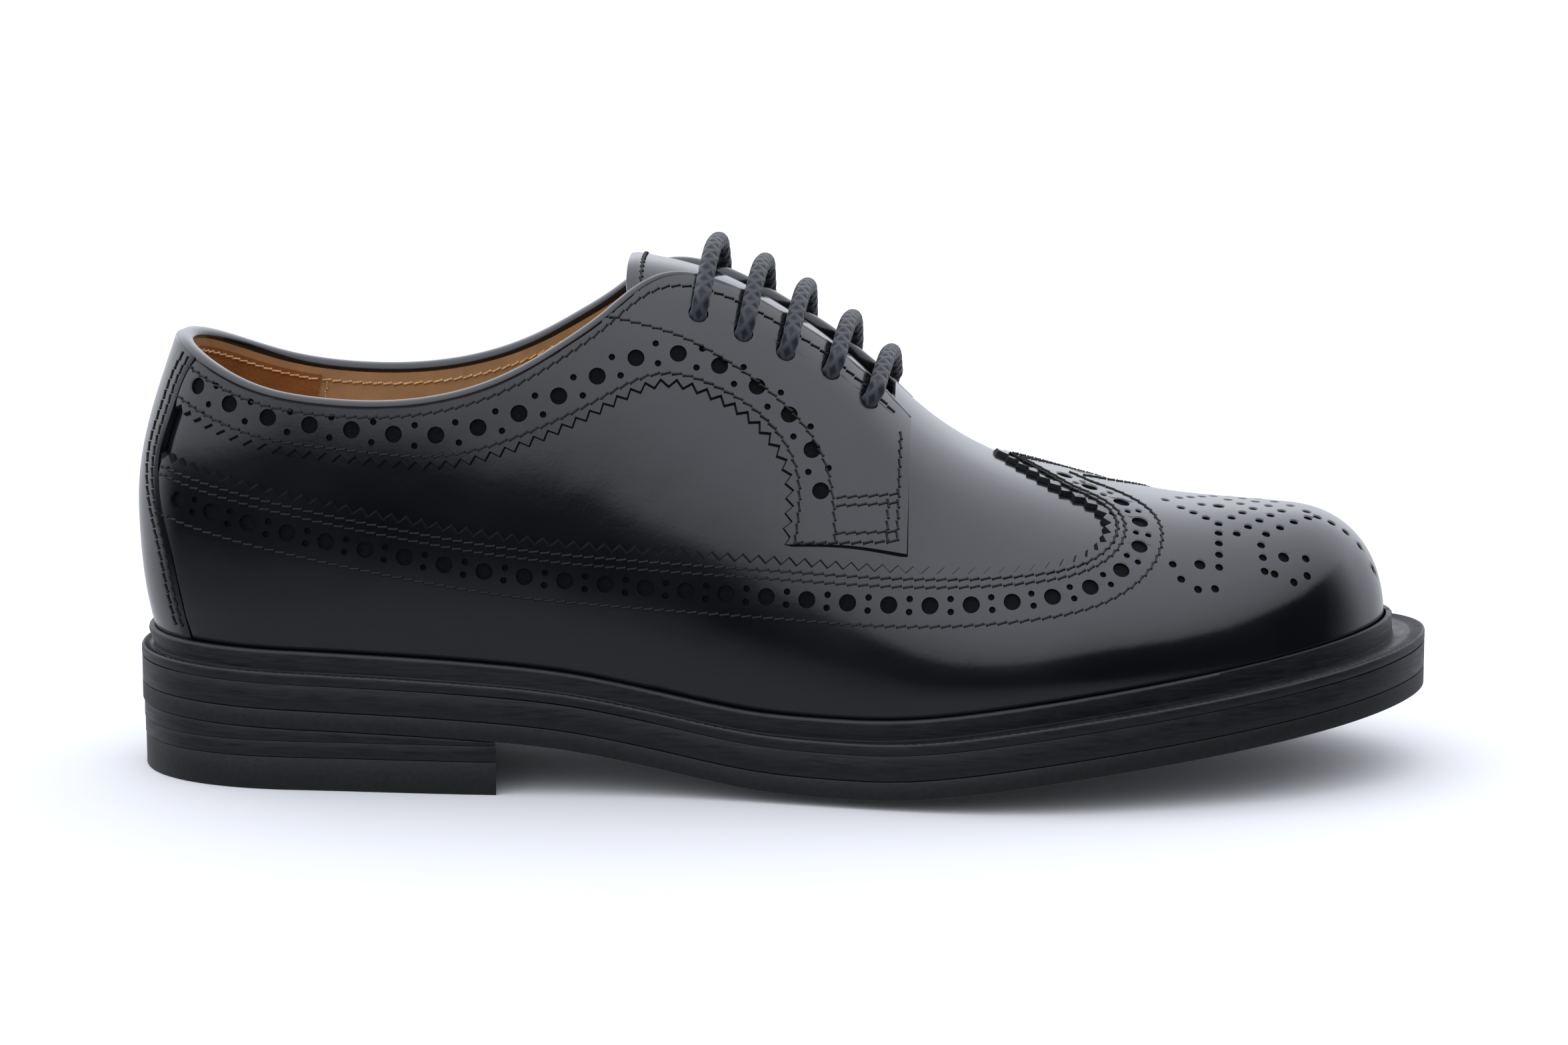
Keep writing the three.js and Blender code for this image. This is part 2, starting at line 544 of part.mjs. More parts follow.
const BORE_SIDES = 8;
const BORE_LENGTH = 8;
function punched(solid, sides) {
  for (const side of sides) {
    for (const row of eyelets) {
      const { foot, normal } = eyeletFrame(side, row);
      const bore = new THREE.CylinderGeometry(EYELET_BORE / 2, EYELET_BORE / 2, BORE_LENGTH, BORE_SIDES);
      bore.applyQuaternion(new THREE.Quaternion().setFromUnitVectors(new THREE.Vector3(0, 1, 0), normal));
      bore.translate(foot.x, foot.y, foot.z);
      bore.deleteAttribute('normal');
      bore.deleteAttribute('uv');
      solid = solid.subtract(solidOf(bore));
    }
  }
  return solid;
}

// A piece laid on the upper: its outline cut straight through a cover of the upper's own form, which keeps
// the same facets, and the form swollen by the gap cut out of it
const CUT_DEPTH = 5;          // the cut outline reaches this far outside and inside the upper's face
const COVER_DEPTH = 2;
const FORM_DEPTH = 4;
const ridgeFrom = throatIndex / UPPER_STATIONS;
const onUpper = (past, outer, depth) =>
  solidOf(leather(UPPER_STATIONS, UPPER_ROWS, shellDomain(past), outer, -depth, { ridgeFrom }));
const cover = onUpper(0, LIFT, COVER_DEPTH);
const form = onUpper(0, GAP, FORM_DEPTH);
const outline = (nu, nh, domain, closed) => solidOf(leather(nu, nh, domain, CUT_DEPTH, -CUT_DEPTH, closed));
const laidOn = cut => cover.intersect(cut).subtract(form);

// One straight lace crossing: up out of an eyelet, over the facings and the gap, down to the other
const LACE_SIDES = 8;
const LACE_STEPS = 10;
const BAR_STOPS = [-0.65, -0.3, 0, 0.3, 0.65];   // from the outer eyelet (-1) over the ridge (0) to the inner (1)
function makeLaceBar(row) {
  const over = LIFT + GAP + FACET_SAG + LACE / 2;
  const ends = [-1, 1].map(side => eyeletFrame(side, row));
  const rise = ends.map(({ foot, normal }) => foot.clone().addScaledVector(normal, LIFT + GAP));
  const above = ends.map(({ foot, normal }) => foot.clone().addScaledVector(normal, LIFT + GAP + LACE / 2));
  const crossing = BAR_STOPS.map(stop => {
    const near = ends[stop < 0 ? 0 : 1];
    const u = ends[0].u + (ends[1].u - ends[0].u) * (1 + stop) / 2;
    return skin(stop < 0 ? -1 : 1, u, near.h + (1 - near.h) * (1 - Math.abs(stop)), over);
  });
  const points = [rise[0], above[0], ...crossing, above[1], rise[1]];
  const path = new THREE.CatmullRomCurve3(points);
  const section = new THREE.Shape();
  section.absarc(0, 0, LACE / 2, 0, 2 * Math.PI);
  const tube = new THREE.ExtrudeGeometry(section, {
    steps: LACE_STEPS, extrudePath: path, curveSegments: LACE_SIDES / 2, bevelEnabled: false,
  });
  tube.deleteAttribute('normal');
  tube.deleteAttribute('uv');
  return tube;
}

const blackLeather = { color: 0x15171b, roughness: 0.22, metalness: 0 };
const materials = {
  leather: new THREE.MeshStandardMaterial(blackLeather),
  rubber: new THREE.MeshStandardMaterial({ color: 0x17181a, roughness: 0.7, metalness: 0 }),
  welt: new THREE.MeshStandardMaterial({ color: 0x1a1b1d, roughness: 0.55, metalness: 0 }),
  insole: new THREE.MeshStandardMaterial({ color: 0xb98a5e, roughness: 0.7, metalness: 0 }),
  lace: new THREE.MeshStandardMaterial({ color: 0x24262b, roughness: 0.8, metalness: 0 }),
};

const shoe = new THREE.Group();
function add(name, geometry, material) {
  const mesh = new THREE.Mesh(geometry, material);
  mesh.name = name;
  shoe.add(mesh);
}

const WING_GRID = [34, 9];
const FACING_GRID = [22, 3];
const STAY_GRID = [2, 7];
const TONGUE_GRID = [9, 4];
const EDGE_ROOM = 3 * GAP / BALL_WIDTH;   // keeps the tongue clear of the facings' edges, as a share of h
const upperShell = onUpper(0, 0, WALL);
const stayRoom = outline(...STAY_GRID, stayDomain(GAP, ROOM_ENDS), { ridgeFrom: 1, front: true });
const backStay = laidOn(outline(...STAY_GRID, stayDomain(0, 0), { ridgeFrom: 1, front: true }));
const wing = laidOn(outline(...WING_GRID, wingDomain, { ridgeFrom: 1, back: true, toeRise: TOP_STEP })).subtract(stayRoom);
const facing = side => laidOn(outline(...FACING_GRID, facingDomain,
  { ridgeFrom: 1, back: true, front: true, only: side })).subtract(stayRoom);
const TONGUE_SET = 1.5 * GAP;             // the tongue's face lies this far under the lining
const tongue = solidOf(leather(...TONGUE_GRID, tongueDomain, -WALL - TONGUE_SET, -WALL - GAP - TONGUE,
  { ridgeFrom: 0, back: true, front: true })).subtract(onUpper(EDGE_ROOM, GAP, WALL + GAP));

add('outsole', makeOutsole(), materials.rubber);
add('midsole', makeMidsole(), materials.rubber);
add('heel_lifts', makeHeelLifts(), materials.rubber);
add('heel_top_piece', makeTopPiece(), materials.rubber);
add('welt', makeWelt(), materials.welt);
add('insole', makeInsole(), materials.insole);
add('upper', geometryOf(punched(upperShell, [-1, 1])), materials.leather);
add('long_wing', geometryOf(wing), materials.leather);
add('facing_outer', geometryOf(punched(facing(-1), [-1])), materials.leather);
add('facing_inner', geometryOf(punched(facing(1), [1])), materials.leather);
add('back_stay', geometryOf(backStay), materials.leather);
add('tongue', geometryOf(tongue), materials.leather);
eyelets.forEach((row, i) => add(`lace_bar_${i + 1}`, makeLaceBar(row), materials.lace));

export default shoe;
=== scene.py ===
"""Long-wing brogue derby in polished black calf, right shoe, laced and empty, dressed around its solids.

Shapes are worked out in millimetres on the shoe's last and put into the meshes in metres.
"""

import math

import bmesh
import bpy
import numpy as np
from bpy.props import FloatProperty, FloatVectorProperty, IntProperty, PointerProperty
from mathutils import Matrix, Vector
from mathutils.geometry import delaunay_2d_cdt


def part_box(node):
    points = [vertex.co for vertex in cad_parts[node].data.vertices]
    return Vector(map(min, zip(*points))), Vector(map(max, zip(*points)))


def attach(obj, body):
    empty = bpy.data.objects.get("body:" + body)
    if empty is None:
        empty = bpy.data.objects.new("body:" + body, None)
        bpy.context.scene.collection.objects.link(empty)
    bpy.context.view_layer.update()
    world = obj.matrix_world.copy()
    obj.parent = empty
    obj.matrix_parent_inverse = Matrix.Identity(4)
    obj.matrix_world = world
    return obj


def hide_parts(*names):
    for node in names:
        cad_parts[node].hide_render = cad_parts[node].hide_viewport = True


bl_info = {
    "name": "Brogue derby",
    "version": (1, 0, 0),
    "blender": (4, 5, 0),
    "location": "3D View > Sidebar > Brogue",
    "description": "Dresses the solids of a long-wing brogue derby in leather, rubber and thread",
    "category": "Object",
}

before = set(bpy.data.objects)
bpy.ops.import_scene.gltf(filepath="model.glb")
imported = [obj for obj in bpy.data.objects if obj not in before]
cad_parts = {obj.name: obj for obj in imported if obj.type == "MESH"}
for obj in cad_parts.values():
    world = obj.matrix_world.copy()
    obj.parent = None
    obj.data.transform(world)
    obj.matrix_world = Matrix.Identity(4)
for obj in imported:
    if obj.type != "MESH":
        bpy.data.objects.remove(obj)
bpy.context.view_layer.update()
SOLE_LOW, SOLE_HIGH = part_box("outsole")

MM = 0.001


def linear(code):
    """Linear colour of an sRGB hex code, with an alpha of one."""
    parts = np.array([int(code[i:i + 2], 16) / 255 for i in (1, 3, 5)])
    low = parts / 12.92
    high = ((parts + 0.055) / 1.055) ** 2.4
    return (*np.where(parts <= 0.04045, low, high), 1.0)


def size(name, description, millimetres):
    """A length property in metres whose default is given in millimetres."""
    return FloatProperty(name=name, description=description, default=millimetres * MM, unit="LENGTH", precision=4)


def colour(name, description, code):
    """A colour property whose default is an sRGB hex code."""
    return FloatVectorProperty(
        name=name, description=description, default=linear(code), size=4, subtype="COLOR", min=0.0, max=1.0
    )


class ShoeSizes(bpy.types.PropertyGroup):
    """Driving sizes of the shoe, the same ones as its solids have."""

    length: FloatProperty(
        name="Length", description="Sole, heel to toe", default=SOLE_HIGH[0] - SOLE_LOW[0], unit="LENGTH"
    )
    ball: FloatProperty(
        name="Ball width", description="Sole across the ball", default=SOLE_HIGH[1] - SOLE_LOW[1], unit="LENGTH"
    )
    instep: size("Instep height", "Floor to the last's ridge under the top eyelets", 118)
    back: size("Back height", "Floor to the topline at the back seam", 102)
    heel_rise: size("Heel rise", "Floor to the outsole's edge at the back", 15.8)
    toe_rise: size("Toe rise", "How far the outsole turns up at the toe", 18.4)
    heel_length: size("Heel length", "Back of the heel to the corners of its breast", 86)
    breast_hollow: size("Breast hollow", "How far the breast curves in between its corners", 7)
    wall: size("Upper wall", "Leather and lining together", 2.2)
    overlay: size("Overlay", "Thickness of the wing, the facings and the back stay", 1.2)
    welt: size("Welt", "Thickness of the welt's flat", 2.5)
    midsole: size("Midsole", "Thickness of the midsole", 5.5)
    outsole: size("Outsole", "Thickness of the outsole at its edge", 4.3)
    crown: size("Crown", "How far the forepart's middle stands below its edge", 2.4)
    top_piece: size("Top piece", "Thickness of the heel's floor piece", 7.7)
    gap: size("Gap", "Between pieces that meet", 0.3)
    rib: size("Rib", "Height of the storm rib over the welt's flat", 5.0)


class BrogueSizes(bpy.types.PropertyGroup):
    """Sizes of the brogue work: saw-toothed edges, punched holes and stitches."""

    tooth: size("Tooth pitch", "Spacing of the saw teeth along the edges", 3.5)
    tooth_depth: size("Tooth depth", "Depth of the saw teeth", 1.7)
    large: size("Large hole", "Diameter of the large holes", 3.9)
    small: size("Small hole", "Diameter of the small holes", 1.5)
    medallion: size("Medallion hole", "Diameter of the toe's holes", 1.9)
    wing_pitch: size("Wing pitch", "Spacing of the large holes on the wing", 9.2)
    band_pitch: size("Band pitch", "Spacing of the large holes on the collar band", 9.7)
    eyelet: size("Eyelet", "Diameter of the punched eyelets", 4.6)
    stitch: size("Stitch pitch", "Spacing of the stitches", 2.5)
    thread: size("Thread", "Diameter of the sewing thread", 0.72)
    lace: size("Lace", "Diameter of the laces", 4.0)
    lace_lead: size("Lace lead", "How far the inner eyelets lie ahead of the outer ones", 4)
    lace_drop: size("Lace drop", "How far the inner eyelets lie below the outer ones", 1.8)
    hole_sides: IntProperty(name="Hole sides", description="Sides of a punched hole", default=16, min=6, max=48)


class ShoeColours(bpy.types.PropertyGroup):
    """Colours of the shoe's materials."""

    calf: colour("Calf", "Polished black calf", "#0a0b0f")
    # Inked cut edges; on the panels' sloped borders they also stand for the painted shadow under the overlays
    cut: colour("Cut edge", "Inked cut edges of the calf", "#0d0e11")
    # Ground of the punched holes: a raw underlay, made darker as painted shade of the holes' depth
    raw: colour("Raw leather", "Ground of the punched holes", "#050608")
    edge: colour("Dressed edge", "Inked and burnished edges of welt and sole", "#111215")
    rubber: colour("Rubber", "Outsole and top piece", "#0e0f11")
    lining: colour("Lining", "Vegetable tanned lining", "#c19668")
    suede: colour("Heel grip", "Suede inside the heel", "#a06430")
    thread: colour("Thread", "Sewing thread of the upper", "#060607")
    lining_thread: colour("Lining thread", "Thread that shows on the lining", "#c9a374")
    lace: colour("Lace", "Waxed cotton", "#26282e")
    floor: colour("Floor", "Studio floor", "#efefef")


def spline_slopes(x, y):
    """Second derivatives of the natural cubic spline through the points, zero at both ends."""
    n = len(x)
    a = np.diff(x)
    matrix = np.eye(n)
    right = np.zeros(n)
    for i in range(1, n - 1):
        matrix[i, i - 1:i + 2] = a[i - 1], 2 * (a[i - 1] + a[i]), a[i]
        right[i] = 6 * ((y[i + 1] - y[i]) / a[i] - (y[i] - y[i - 1]) / a[i - 1])
    return np.linalg.solve(matrix, right)


class Sections:
    """A table of sections: the first column is the place, each other column is a curve called by its name."""

    def __init__(self, columns, rows):
        values = np.array(rows, float)
        self.place = values[:, 0]
        self.curves = {name: values[:, j] for j, name in enumerate(columns.split())}
        self.slopes = {name: spline_slopes(self.place, y) for name, y in self.curves.items()}

    def __call__(self, name, x):
        """Value of a column's natural cubic spline at x."""
        x = np.asarray(x, float)
        p, y, m = self.place, self.curves[name], self.slopes[name]
        i = np.clip(np.searchsorted(p, x) - 1, 0, len(p) - 2)
        h = p[i + 1] - p[i]
        t = x - p[i]
        rise = (y[i + 1] - y[i]) / h - h * (2 * m[i] + m[i + 1]) / 6
        return y[i] + t * rise + t * t * m[i] / 2 + t ** 3 * (m[i + 1] - m[i]) / (6 * h)


# Sole outline: half width and centre as shares of the ball width
PLAN = Sections("place half centre", [
    [0.00, 0.303, -0.022], [0.13, 0.312, -0.022], [0.28, 0.334, -0.030], [0.40, 0.325, -0.049],
    [0.50, 0.368, -0.053], [0.60, 0.450, -0.032], [0.68, 0.497, -0.006], [0.78, 0.502, 0.022],
    [0.90, 0.502, 0.043], [1.00, 0.502, 0.052],
])
# Underside of the outsole at its edge: shares of the heel rise, the crown and the toe rise
UNDER = Sections("place heel crown toe", [
    [0.00, 1.00, 0.00, 0.00], [0.14, 0.905, 0.00, 0.00], [0.285, 0.79, 0.00, 0.00], [0.34, 0.665, 0.10, 0.00],
    [0.395, 0.435, 0.38, 0.00], [0.44, 0.215, 0.72, 0.00], [0.487, 0.045, 0.94, 0.00], [0.53, 0.00, 0.96, 0.00],
    [0.59, 0.00, 0.96, 0.01], [0.636, 0.00, 1.00, 0.085], [0.683, 0.00, 1.00, 0.20], [0.73, 0.00, 1.00, 0.31],
    [0.779, 0.00, 0.97, 0.415], [0.827, 0.00, 0.85, 0.53], [0.892, 0.00, 0.62, 0.70], [0.94, 0.00, 0.45, 0.83],
    [1.00, 0.00, 0.30, 1.00],
])
# Inset of the feather line, as shares of its inset at the sides
INSET = Sections("place outer inner", [
    [0.00, 0.86, 0.86], [0.25, 0.80, 0.84], [0.42, 0.78, 0.84], [0.62, 1.10, 1.00], [0.80, 1.30, 1.30],
    [1.00, 1.57, 1.57],
])
# Ridge of the last: height as a share of the instep, and sideways as a share of the ball width
RIDGE = Sections("place height side", [
    [0.00, 1.150, -0.014], [0.15, 1.130, -0.014], [0.30, 1.082, -0.004], [0.40, 1.030, 0.009],
    [0.45, 0.998, 0.016], [0.50, 0.932, 0.023], [0.56, 0.820, 0.031], [0.605, 0.711, 0.036],
    [0.65, 0.632, 0.041], [0.70, 0.580, 0.047], [0.75, 0.545, 0.051], [0.80, 0.519, 0.055],
    [0.85, 0.507, 0.058], [0.90, 0.498, 0.060], [1.00, 0.473, 0.060],
])
# Section shape: fullness is a superellipse's power, the bulges are shares of the half width
FULLNESS = Sections("place power outer inner", [
    [0.00, 3.6, 0.06, 0.06], [0.12, 3.6, 0.09, 0.09], [0.28, 3.4, 0.10, 0.16], [0.40, 2.8, 0.10, 0.33],
    [0.50, 2.35, 0.08, 0.29], [0.62, 2.2, 0.06, 0.12], [0.75, 2.25, 0.05, 0.05], [1.00, 2.3, 0.00, 0.00],
])
# Back seam: how far it leans forward, as shares of the back height, by height over the welt
BACK_SEAM = Sections("height lean", [
    [0.00, 0.000], [0.13, -0.028], [0.25, -0.039], [0.37, -0.039], [0.50, -0.016], [0.62, 0.022],
    [0.75, 0.069], [1.20, 0.255],
])
# Topline and facing edge: height as a share of the back height, up to the throat
THROAT = 0.601
TOPLINE = Sections("place height", [
    [0.018, 1.000], [0.04, 0.972], [0.10, 0.908], [0.155, 0.883], [0.212, 0.882], [0.247, 0.896],
    [0.281, 0.924], [0.315, 0.970], [0.339, 1.012], [0.370, 1.074], [0.391, 1.122], [0.409, 1.146],
    [0.427, 1.148], [0.444, 1.137], [0.469, 1.107], [0.494, 1.066], [0.519, 1.020], [0.537, 0.984],
    [0.556, 0.938], [0.572, 0.898], [0.588, 0.850], [THROAT, 0.812],
])
# Upper edge of the wing, from the back stay to its peak on the ridge
WING_EDGE = Sections("t place height", [
    [0.00, 0.0300, 0.740], [0.08, 0.135, 0.666], [0.16, 0.216, 0.618], [0.25, 0.316, 0.575],
    [0.34, 0.430, 0.549], [0.42, 0.507, 0.537], [0.50, 0.585, 0.522], [0.57, 0.642, 0.514],
    [0.63, 0.690, 0.516], [0.68, 0.722, 0.527], [0.73, 0.743, 0.552], [0.78, 0.749, 0.584],
    [0.83, 0.740, 0.612], [0.89, 0.716, 0.641], [0.95, 0.690, 0.670], [1.00, 0.664, 0.700],
])
# Lower edge of the collar band and facing, from the back stay to the foot of its tab
BAND_EDGE = Sections("t place height", [
    [0.00, 0.0300, 0.862], [0.10, 0.105, 0.782], [0.20, 0.180, 0.752], [0.30, 0.250, 0.745],
    [0.40, 0.317, 0.800], [0.50, 0.372, 0.875], [0.58, 0.412, 0.920], [0.66, 0.452, 0.890],
    [0.74, 0.484, 0.830], [0.82, 0.504, 0.755], [0.90, 0.510, 0.680], [1.00, 0.507, 0.575],
])
PEAK_TURN = 0.89            # share of the wing's edge after which it runs straight to its peak
FACING_FRONT = 0.5967
TAB_FOOT = 0.552
# Side edge of the back stay, by share of the back seam's height
STAY_EDGE = Sections("height place", [
    [0.00, 0.0563], [0.15, 0.0513], [0.30, 0.0430], [0.45, 0.0387], [0.65, 0.0400], [0.85, 0.0410],
    [1.00, 0.0450],
])
# Eyelets from the top one down: place and height share
EYELETS = np.array([[0.4377, 1.059], [0.4713, 1.015], [0.503, 0.971], [0.5367, 0.925], [0.5657, 0.860]])

HEEL_ROUND = 40.0
TOE_ROUND = 92.0
TOE_DROP = 22.0
LEAN_REACH = 75.0
INSET_HEEL = 6.2
INSET_SIDE = 7.0
INSET_TOE = 11.0
TOP_STEP = 1.2


def round_end(t, power):
    """Rounded end of an outline: nothing at the end, one where the rounding stops."""
    return (1 - (1 - np.clip(t, 0, 1)) ** power) ** (1 / power)


def unit(v):
    """Vectors scaled to a length of one."""
    return v / np.maximum(np.linalg.norm(v, axis=-1, keepdims=True), 1e-9)


class Last:
    """The shoe's form: u runs from the back seam (0) to the toe (1), g across it.

    g is -1 on the outer feather line, 0 on the ridge and 1 on the inner feather line.
    """

    def __init__(self, sizes):
        for name in sizes.bl_rna.properties.keys():
            value = getattr(sizes, name)
            if isinstance(value, float):
                setattr(self, name, value / MM)
        self.back_x = -self.length / 2
        self.front_x = self.length / 2
        self.feather_back = self.back_x + INSET_HEEL
        self.feather_front = self.front_x - INSET_TOE
        self.lift = self.gap + self.overlay
        self.stack = self.welt + 2 * self.gap + self.midsole + self.outsole
        probes = np.linspace(self.back_x, self.front_x, 601)
        low, high = self.outline(probes, -1).min(), self.outline(probes, 1).max()
        self.middle = (low + high) / 2
        self.fit = self.ball / (high - low)

    def share(self, x):
        """Place along the shoe as a share of its length."""
        return (x - self.back_x) / self.length

    def outline(self, x, side):
        """Half outline of the sole before it is centred in its box."""
        s = self.share(x)
        end = round_end((x - self.back_x) / HEEL_ROUND, 2.2) * round_end((self.front_x - x) / TOE_ROUND, 2)
        return self.ball * (PLAN("centre", s) + side * PLAN("half", s) * end)

    def sole_y(self, x, side):
        """Edge of the sole."""
        return (self.outline(x, side) - self.middle) * self.fit

    def centre_y(self, x):
        """Middle of the sole between its two edges."""
        return (self.ball * PLAN("centre", self.share(x)) - self.middle) * self.fit

    def feather_y(self, x, side):
        """Feather line: the sole's edge drawn in by the inset."""
        s = self.share(x)
        half = self.ball * self.fit * PLAN("half", s)
        tuck = INSET_SIDE * np.where(side < 0, INSET("outer", s), INSET("inner", s))
        heel = round_end((x - self.feather_back) / (HEEL_ROUND - INSET_HEEL), 2.2)
        toe = round_end((self.feather_front - x) / (TOE_ROUND - INSET_TOE), 2)
        return self.centre_y(x) + side * (half - tuck) * heel * toe

    def edge_under(self, x):
        """Height of the outsole's underside at its edge: heel rise, crown and toe rise added up."""
        s = self.share(x)
        return self.heel_rise * UNDER("heel", s) + self.crown * UNDER("crown", s) + self.toe_rise * UNDER("toe", s)

    def welt_top(self, x):
        """Height of the welt's flat."""
        return self.edge_under(x) + self.stack

    def sole_bottom(self, x, y):
        """Underside of the outsole: its edge less a crown that is flat in the middle."""
        half = np.maximum((self.sole_y(x, 1) - self.sole_y(x, -1)) / 2, 1)
        out = np.minimum(np.abs(y - self.centre_y(x)) / half, 1)
        crown = self.crown * 1.09 * np.maximum(UNDER("crown", self.share(x)), 0) * (1 - out ** 4)
        return np.maximum(self.edge_under(x) - crown, 0)

    def station_x(self, u):
        """Feather station of u: closer together towards both ends."""
        return self.feather_back + (self.feather_front - self.feather_back) * (
            0.5 - 0.5 * np.cos(np.pi * np.clip(u, 0, 1))
        )

    def station_u(self, x):
        """u of a feather station."""
        t = np.clip((x - self.feather_back) / (self.feather_front - self.feather_back), 0, 1)
        return np.arccos(1 - 2 * t) / np.pi

    def feather_z(self, x):
        """Height of the feather line."""
        return self.welt_top(x) + self.gap

    def ridge_z(self, x):
        """Height of the ridge, which drops to the feather line at the toe."""
        foot = self.feather_z(x)
        return foot + (self.instep * RIDGE("height", self.share(x)) - foot) * round_end(
            (self.feather_front - x) / TOE_DROP, 2.6
        )

    def point(self, ug):
        """Point of the last at (u, g): a superellipse section with a bulge, leaning forward at the back."""
        u, g = ug[..., 0], np.clip(ug[..., 1], -1, 1)
        side = np.where(g < 0, -1.0, 1.0)
        h = 1 - np.abs(g)
        x = self.station_x(u)
        s = self.share(x)
        power = FULLNESS("power", s)
        rise = np.sin(h * np.pi / 2) ** (2 / power)
        out = np.maximum(np.cos(h * np.pi / 2), 0) ** (2 / power)
        bulge = 1 + np.where(side < 0, FULLNESS("outer", s), FULLNESS("inner", s)) * 6.75 * rise * (1 - rise) ** 2
        foot = self.feather_z(x)
        z = foot + (self.ridge_z(x) - foot) * rise
        top = (self.ball * RIDGE("side", s) - self.middle) * self.fit
        t = np.clip(1 - (x - self.feather_back) / LEAN_REACH, 0, 1)
        lean = self.back * BACK_SEAM("lean", (z - foot) / self.back) * t * t * (3 - 2 * t)
        foot_y = self.feather_y(x, side)
        ridge_y = top + (self.centre_y(x) - top) * (1 - round_end((x - self.feather_back) / LEAN_REACH, 2))
        wide = (self.feather_y(x, 1.0) - self.feather_y(x, -1.0)) > 1e-6
        ridge_y = np.where(wide, ridge_y, foot_y)
        return np.stack([x + lean, ridge_y + (foot_y - ridge_y) * out * bulge, z], -1)

    def slopes(self, ug, step):
        """Slopes of the surface along u and along g."""
        ahead, behind, up, down = (ug.copy() for _ in range(4))
        ahead[..., 0] = np.minimum(ug[..., 0] + step, 1)
        behind[..., 0] = np.maximum(ug[..., 0] - step, 0)
        up[..., 1] = np.minimum(ug[..., 1] + step, 1)
        down[..., 1] = np.maximum(ug[..., 1] - step, -1)
        along = (self.point(ahead) - self.point(behind)) / (ahead - behind)[..., :1]
        across = (self.point(up) - self.point(down)) / (up - down)[..., 1:]
        return along, across

    def normal(self, ug):
        """Outward normal: the cross product of the two slopes."""
        along, across = self.slopes(ug, 1e-4)
        found = unit(np.cross(along, across))
        return np.where(ug[..., :1] > 1 - 2e-4, np.array([1.0, 0, 0]), found)

    def skin(self, ug, offset):
        """Point of the last moved outwards along its normal."""
        return self.point(ug) + self.normal(ug) * np.asarray(offset)[..., None]

    def moved(self, ug, step):
        """(u, g) after a small step in space: the step is split over the two slopes by least squares."""
        along, across = self.slopes(ug, 1e-3)
        a, b, c = (along * along).sum(-1), (along * across).sum(-1), (across * across).sum(-1)
        p, q = (along * step).sum(-1), (across * step).sum(-1)
        det = np.maximum(a * c - b * b, 1e-6)
        change = np.stack([(p * c - q * b) / det, (a * q - b * p) / det], -1)
        return ug + change

    def at_height(self, x, z, side):
        """(u, g) at a feather station and a height."""
        foot = self.feather_z(x)
        rise = np.clip((z - foot) / np.maximum(self.ridge_z(x) - foot, 1e-6), 0, 1)
        h = np.arcsin(rise ** (FULLNESS("power", self.share(x)) / 2)) * 2 / np.pi
        return np.stack([self.station_u(x), side * np.maximum(1 - h, 1e-6)], -1)

    def placed(self, place, height, side):
        """(u, g) at a place and a height that are shares of the length and of the back height."""
        return self.at_height(self.back_x + self.length * np.asarray(place), self.back * np.asarray(height), side)

    def topline(self, u, side, drop=0.0):
        """(u, g) of the topline at u, less a drop in millimetres."""
        x = self.station_x(u)
        share = np.maximum(self.share(x), TOPLINE.place[0])
        z = self.back * TOPLINE("height", share) - drop
        got = self.at_height(x, z, side)
        got[..., 0] = u
        return got


def lengths(points):
    """Length along a polyline up to each of its points."""
    return np.concatenate([[0.0], np.cumsum(np.linalg.norm(np.diff(points, axis=0), axis=1))])


def spaced(last, curve, count=None, pitch=None):
    """The curve with its points evenly spaced: a count of steps, or the nearest whole number at a pitch."""
    run = lengths(last.point(curve))
    steps = count or max(int(round(run[-1] / pitch)), 1)
    at = np.linspace(0, run[-1], steps + 1)
    return np.stack([np.interp(at, run, curve[:, k]) for k in (0, 1)], -1)


def sideways(last, curve):
    """Unit vectors on the surface, square to the curve: normal cross tangent."""
    points = last.point(curve)
    return unit(np.cross(last.normal(curve), unit(np.gradient(points, axis=0))))


FOLD_SHARE = 0.93  # a shifted point nearer its old curve than this share of the distance has folded back


def shifted(last, curve, distance, reach=1.5):
    """The curve moved sideways on the surface in short steps, without the parts that fold back."""
    start = last.point(curve)
    steps = max(int(np.ceil(np.max(np.abs(distance)) / reach)), 1)
    for _ in range(steps):
        curve = last.moved(curve, sideways(last, curve) * (np.ones(len(curve)) * distance / steps)[:, None])
        curve = np.clip(curve, [0, -1], [1, 1])
    return curve[nearest(last.point(curve), start) > FOLD_SHARE * abs(distance)]


def one_side(last, curve, side):
    """The part of a curve from the back stay to the first place where it meets the ridge."""
    behind = curve[:, 0] < stay_edge(last, side)[:, 0].min()
    curve = curve[np.flatnonzero(behind)[-1] + 1 if behind.any() else 0:]
    over = curve[:, 1] * side < 1e-3
    return curve[:np.flatnonzero(over)[0]] if over.any() else curve


def saw_toothed(last, curve, pitch, depth):
    """The curve with saw teeth: evenly spaced, every second point moved out and the others in."""
    run = lengths(last.point(curve))[-1]
    fine = spaced(last, curve, count=2 * int(round(run / pitch)))
    swing = np.where(np.arange(len(fine)) % 2 == 0, -0.5, 0.5) * depth
    swing[0] = swing[-1] = 0
    return last.moved(fine, sideways(last, fine) * swing[:, None])


def wing_edge(last, side):
    """Upper edge of the wing on one side: to its turn by the table, then straight to its peak on the ridge."""
    t = np.linspace(0, PEAK_TURN, 210)
    curve = last.placed(WING_EDGE("place", t), WING_EDGE("height", t), side)
    k = np.linspace(0, 1, 31)[1:, None]
    peak_x = last.back_x + last.length * WING_EDGE("place", np.array([1.0]))
    peak = np.array([last.station_u(peak_x)[0], 0.0])
    return np.concatenate([curve, curve[-1:] * (1 - k) + peak * k])


def band_edge(last, side):
    """Lower edge of the collar band on one side, from the back to the foot of the tab."""
    t = np.linspace(0, 1, 240)
    return last.placed(BAND_EDGE("place", t), BAND_EDGE("height", t), side)


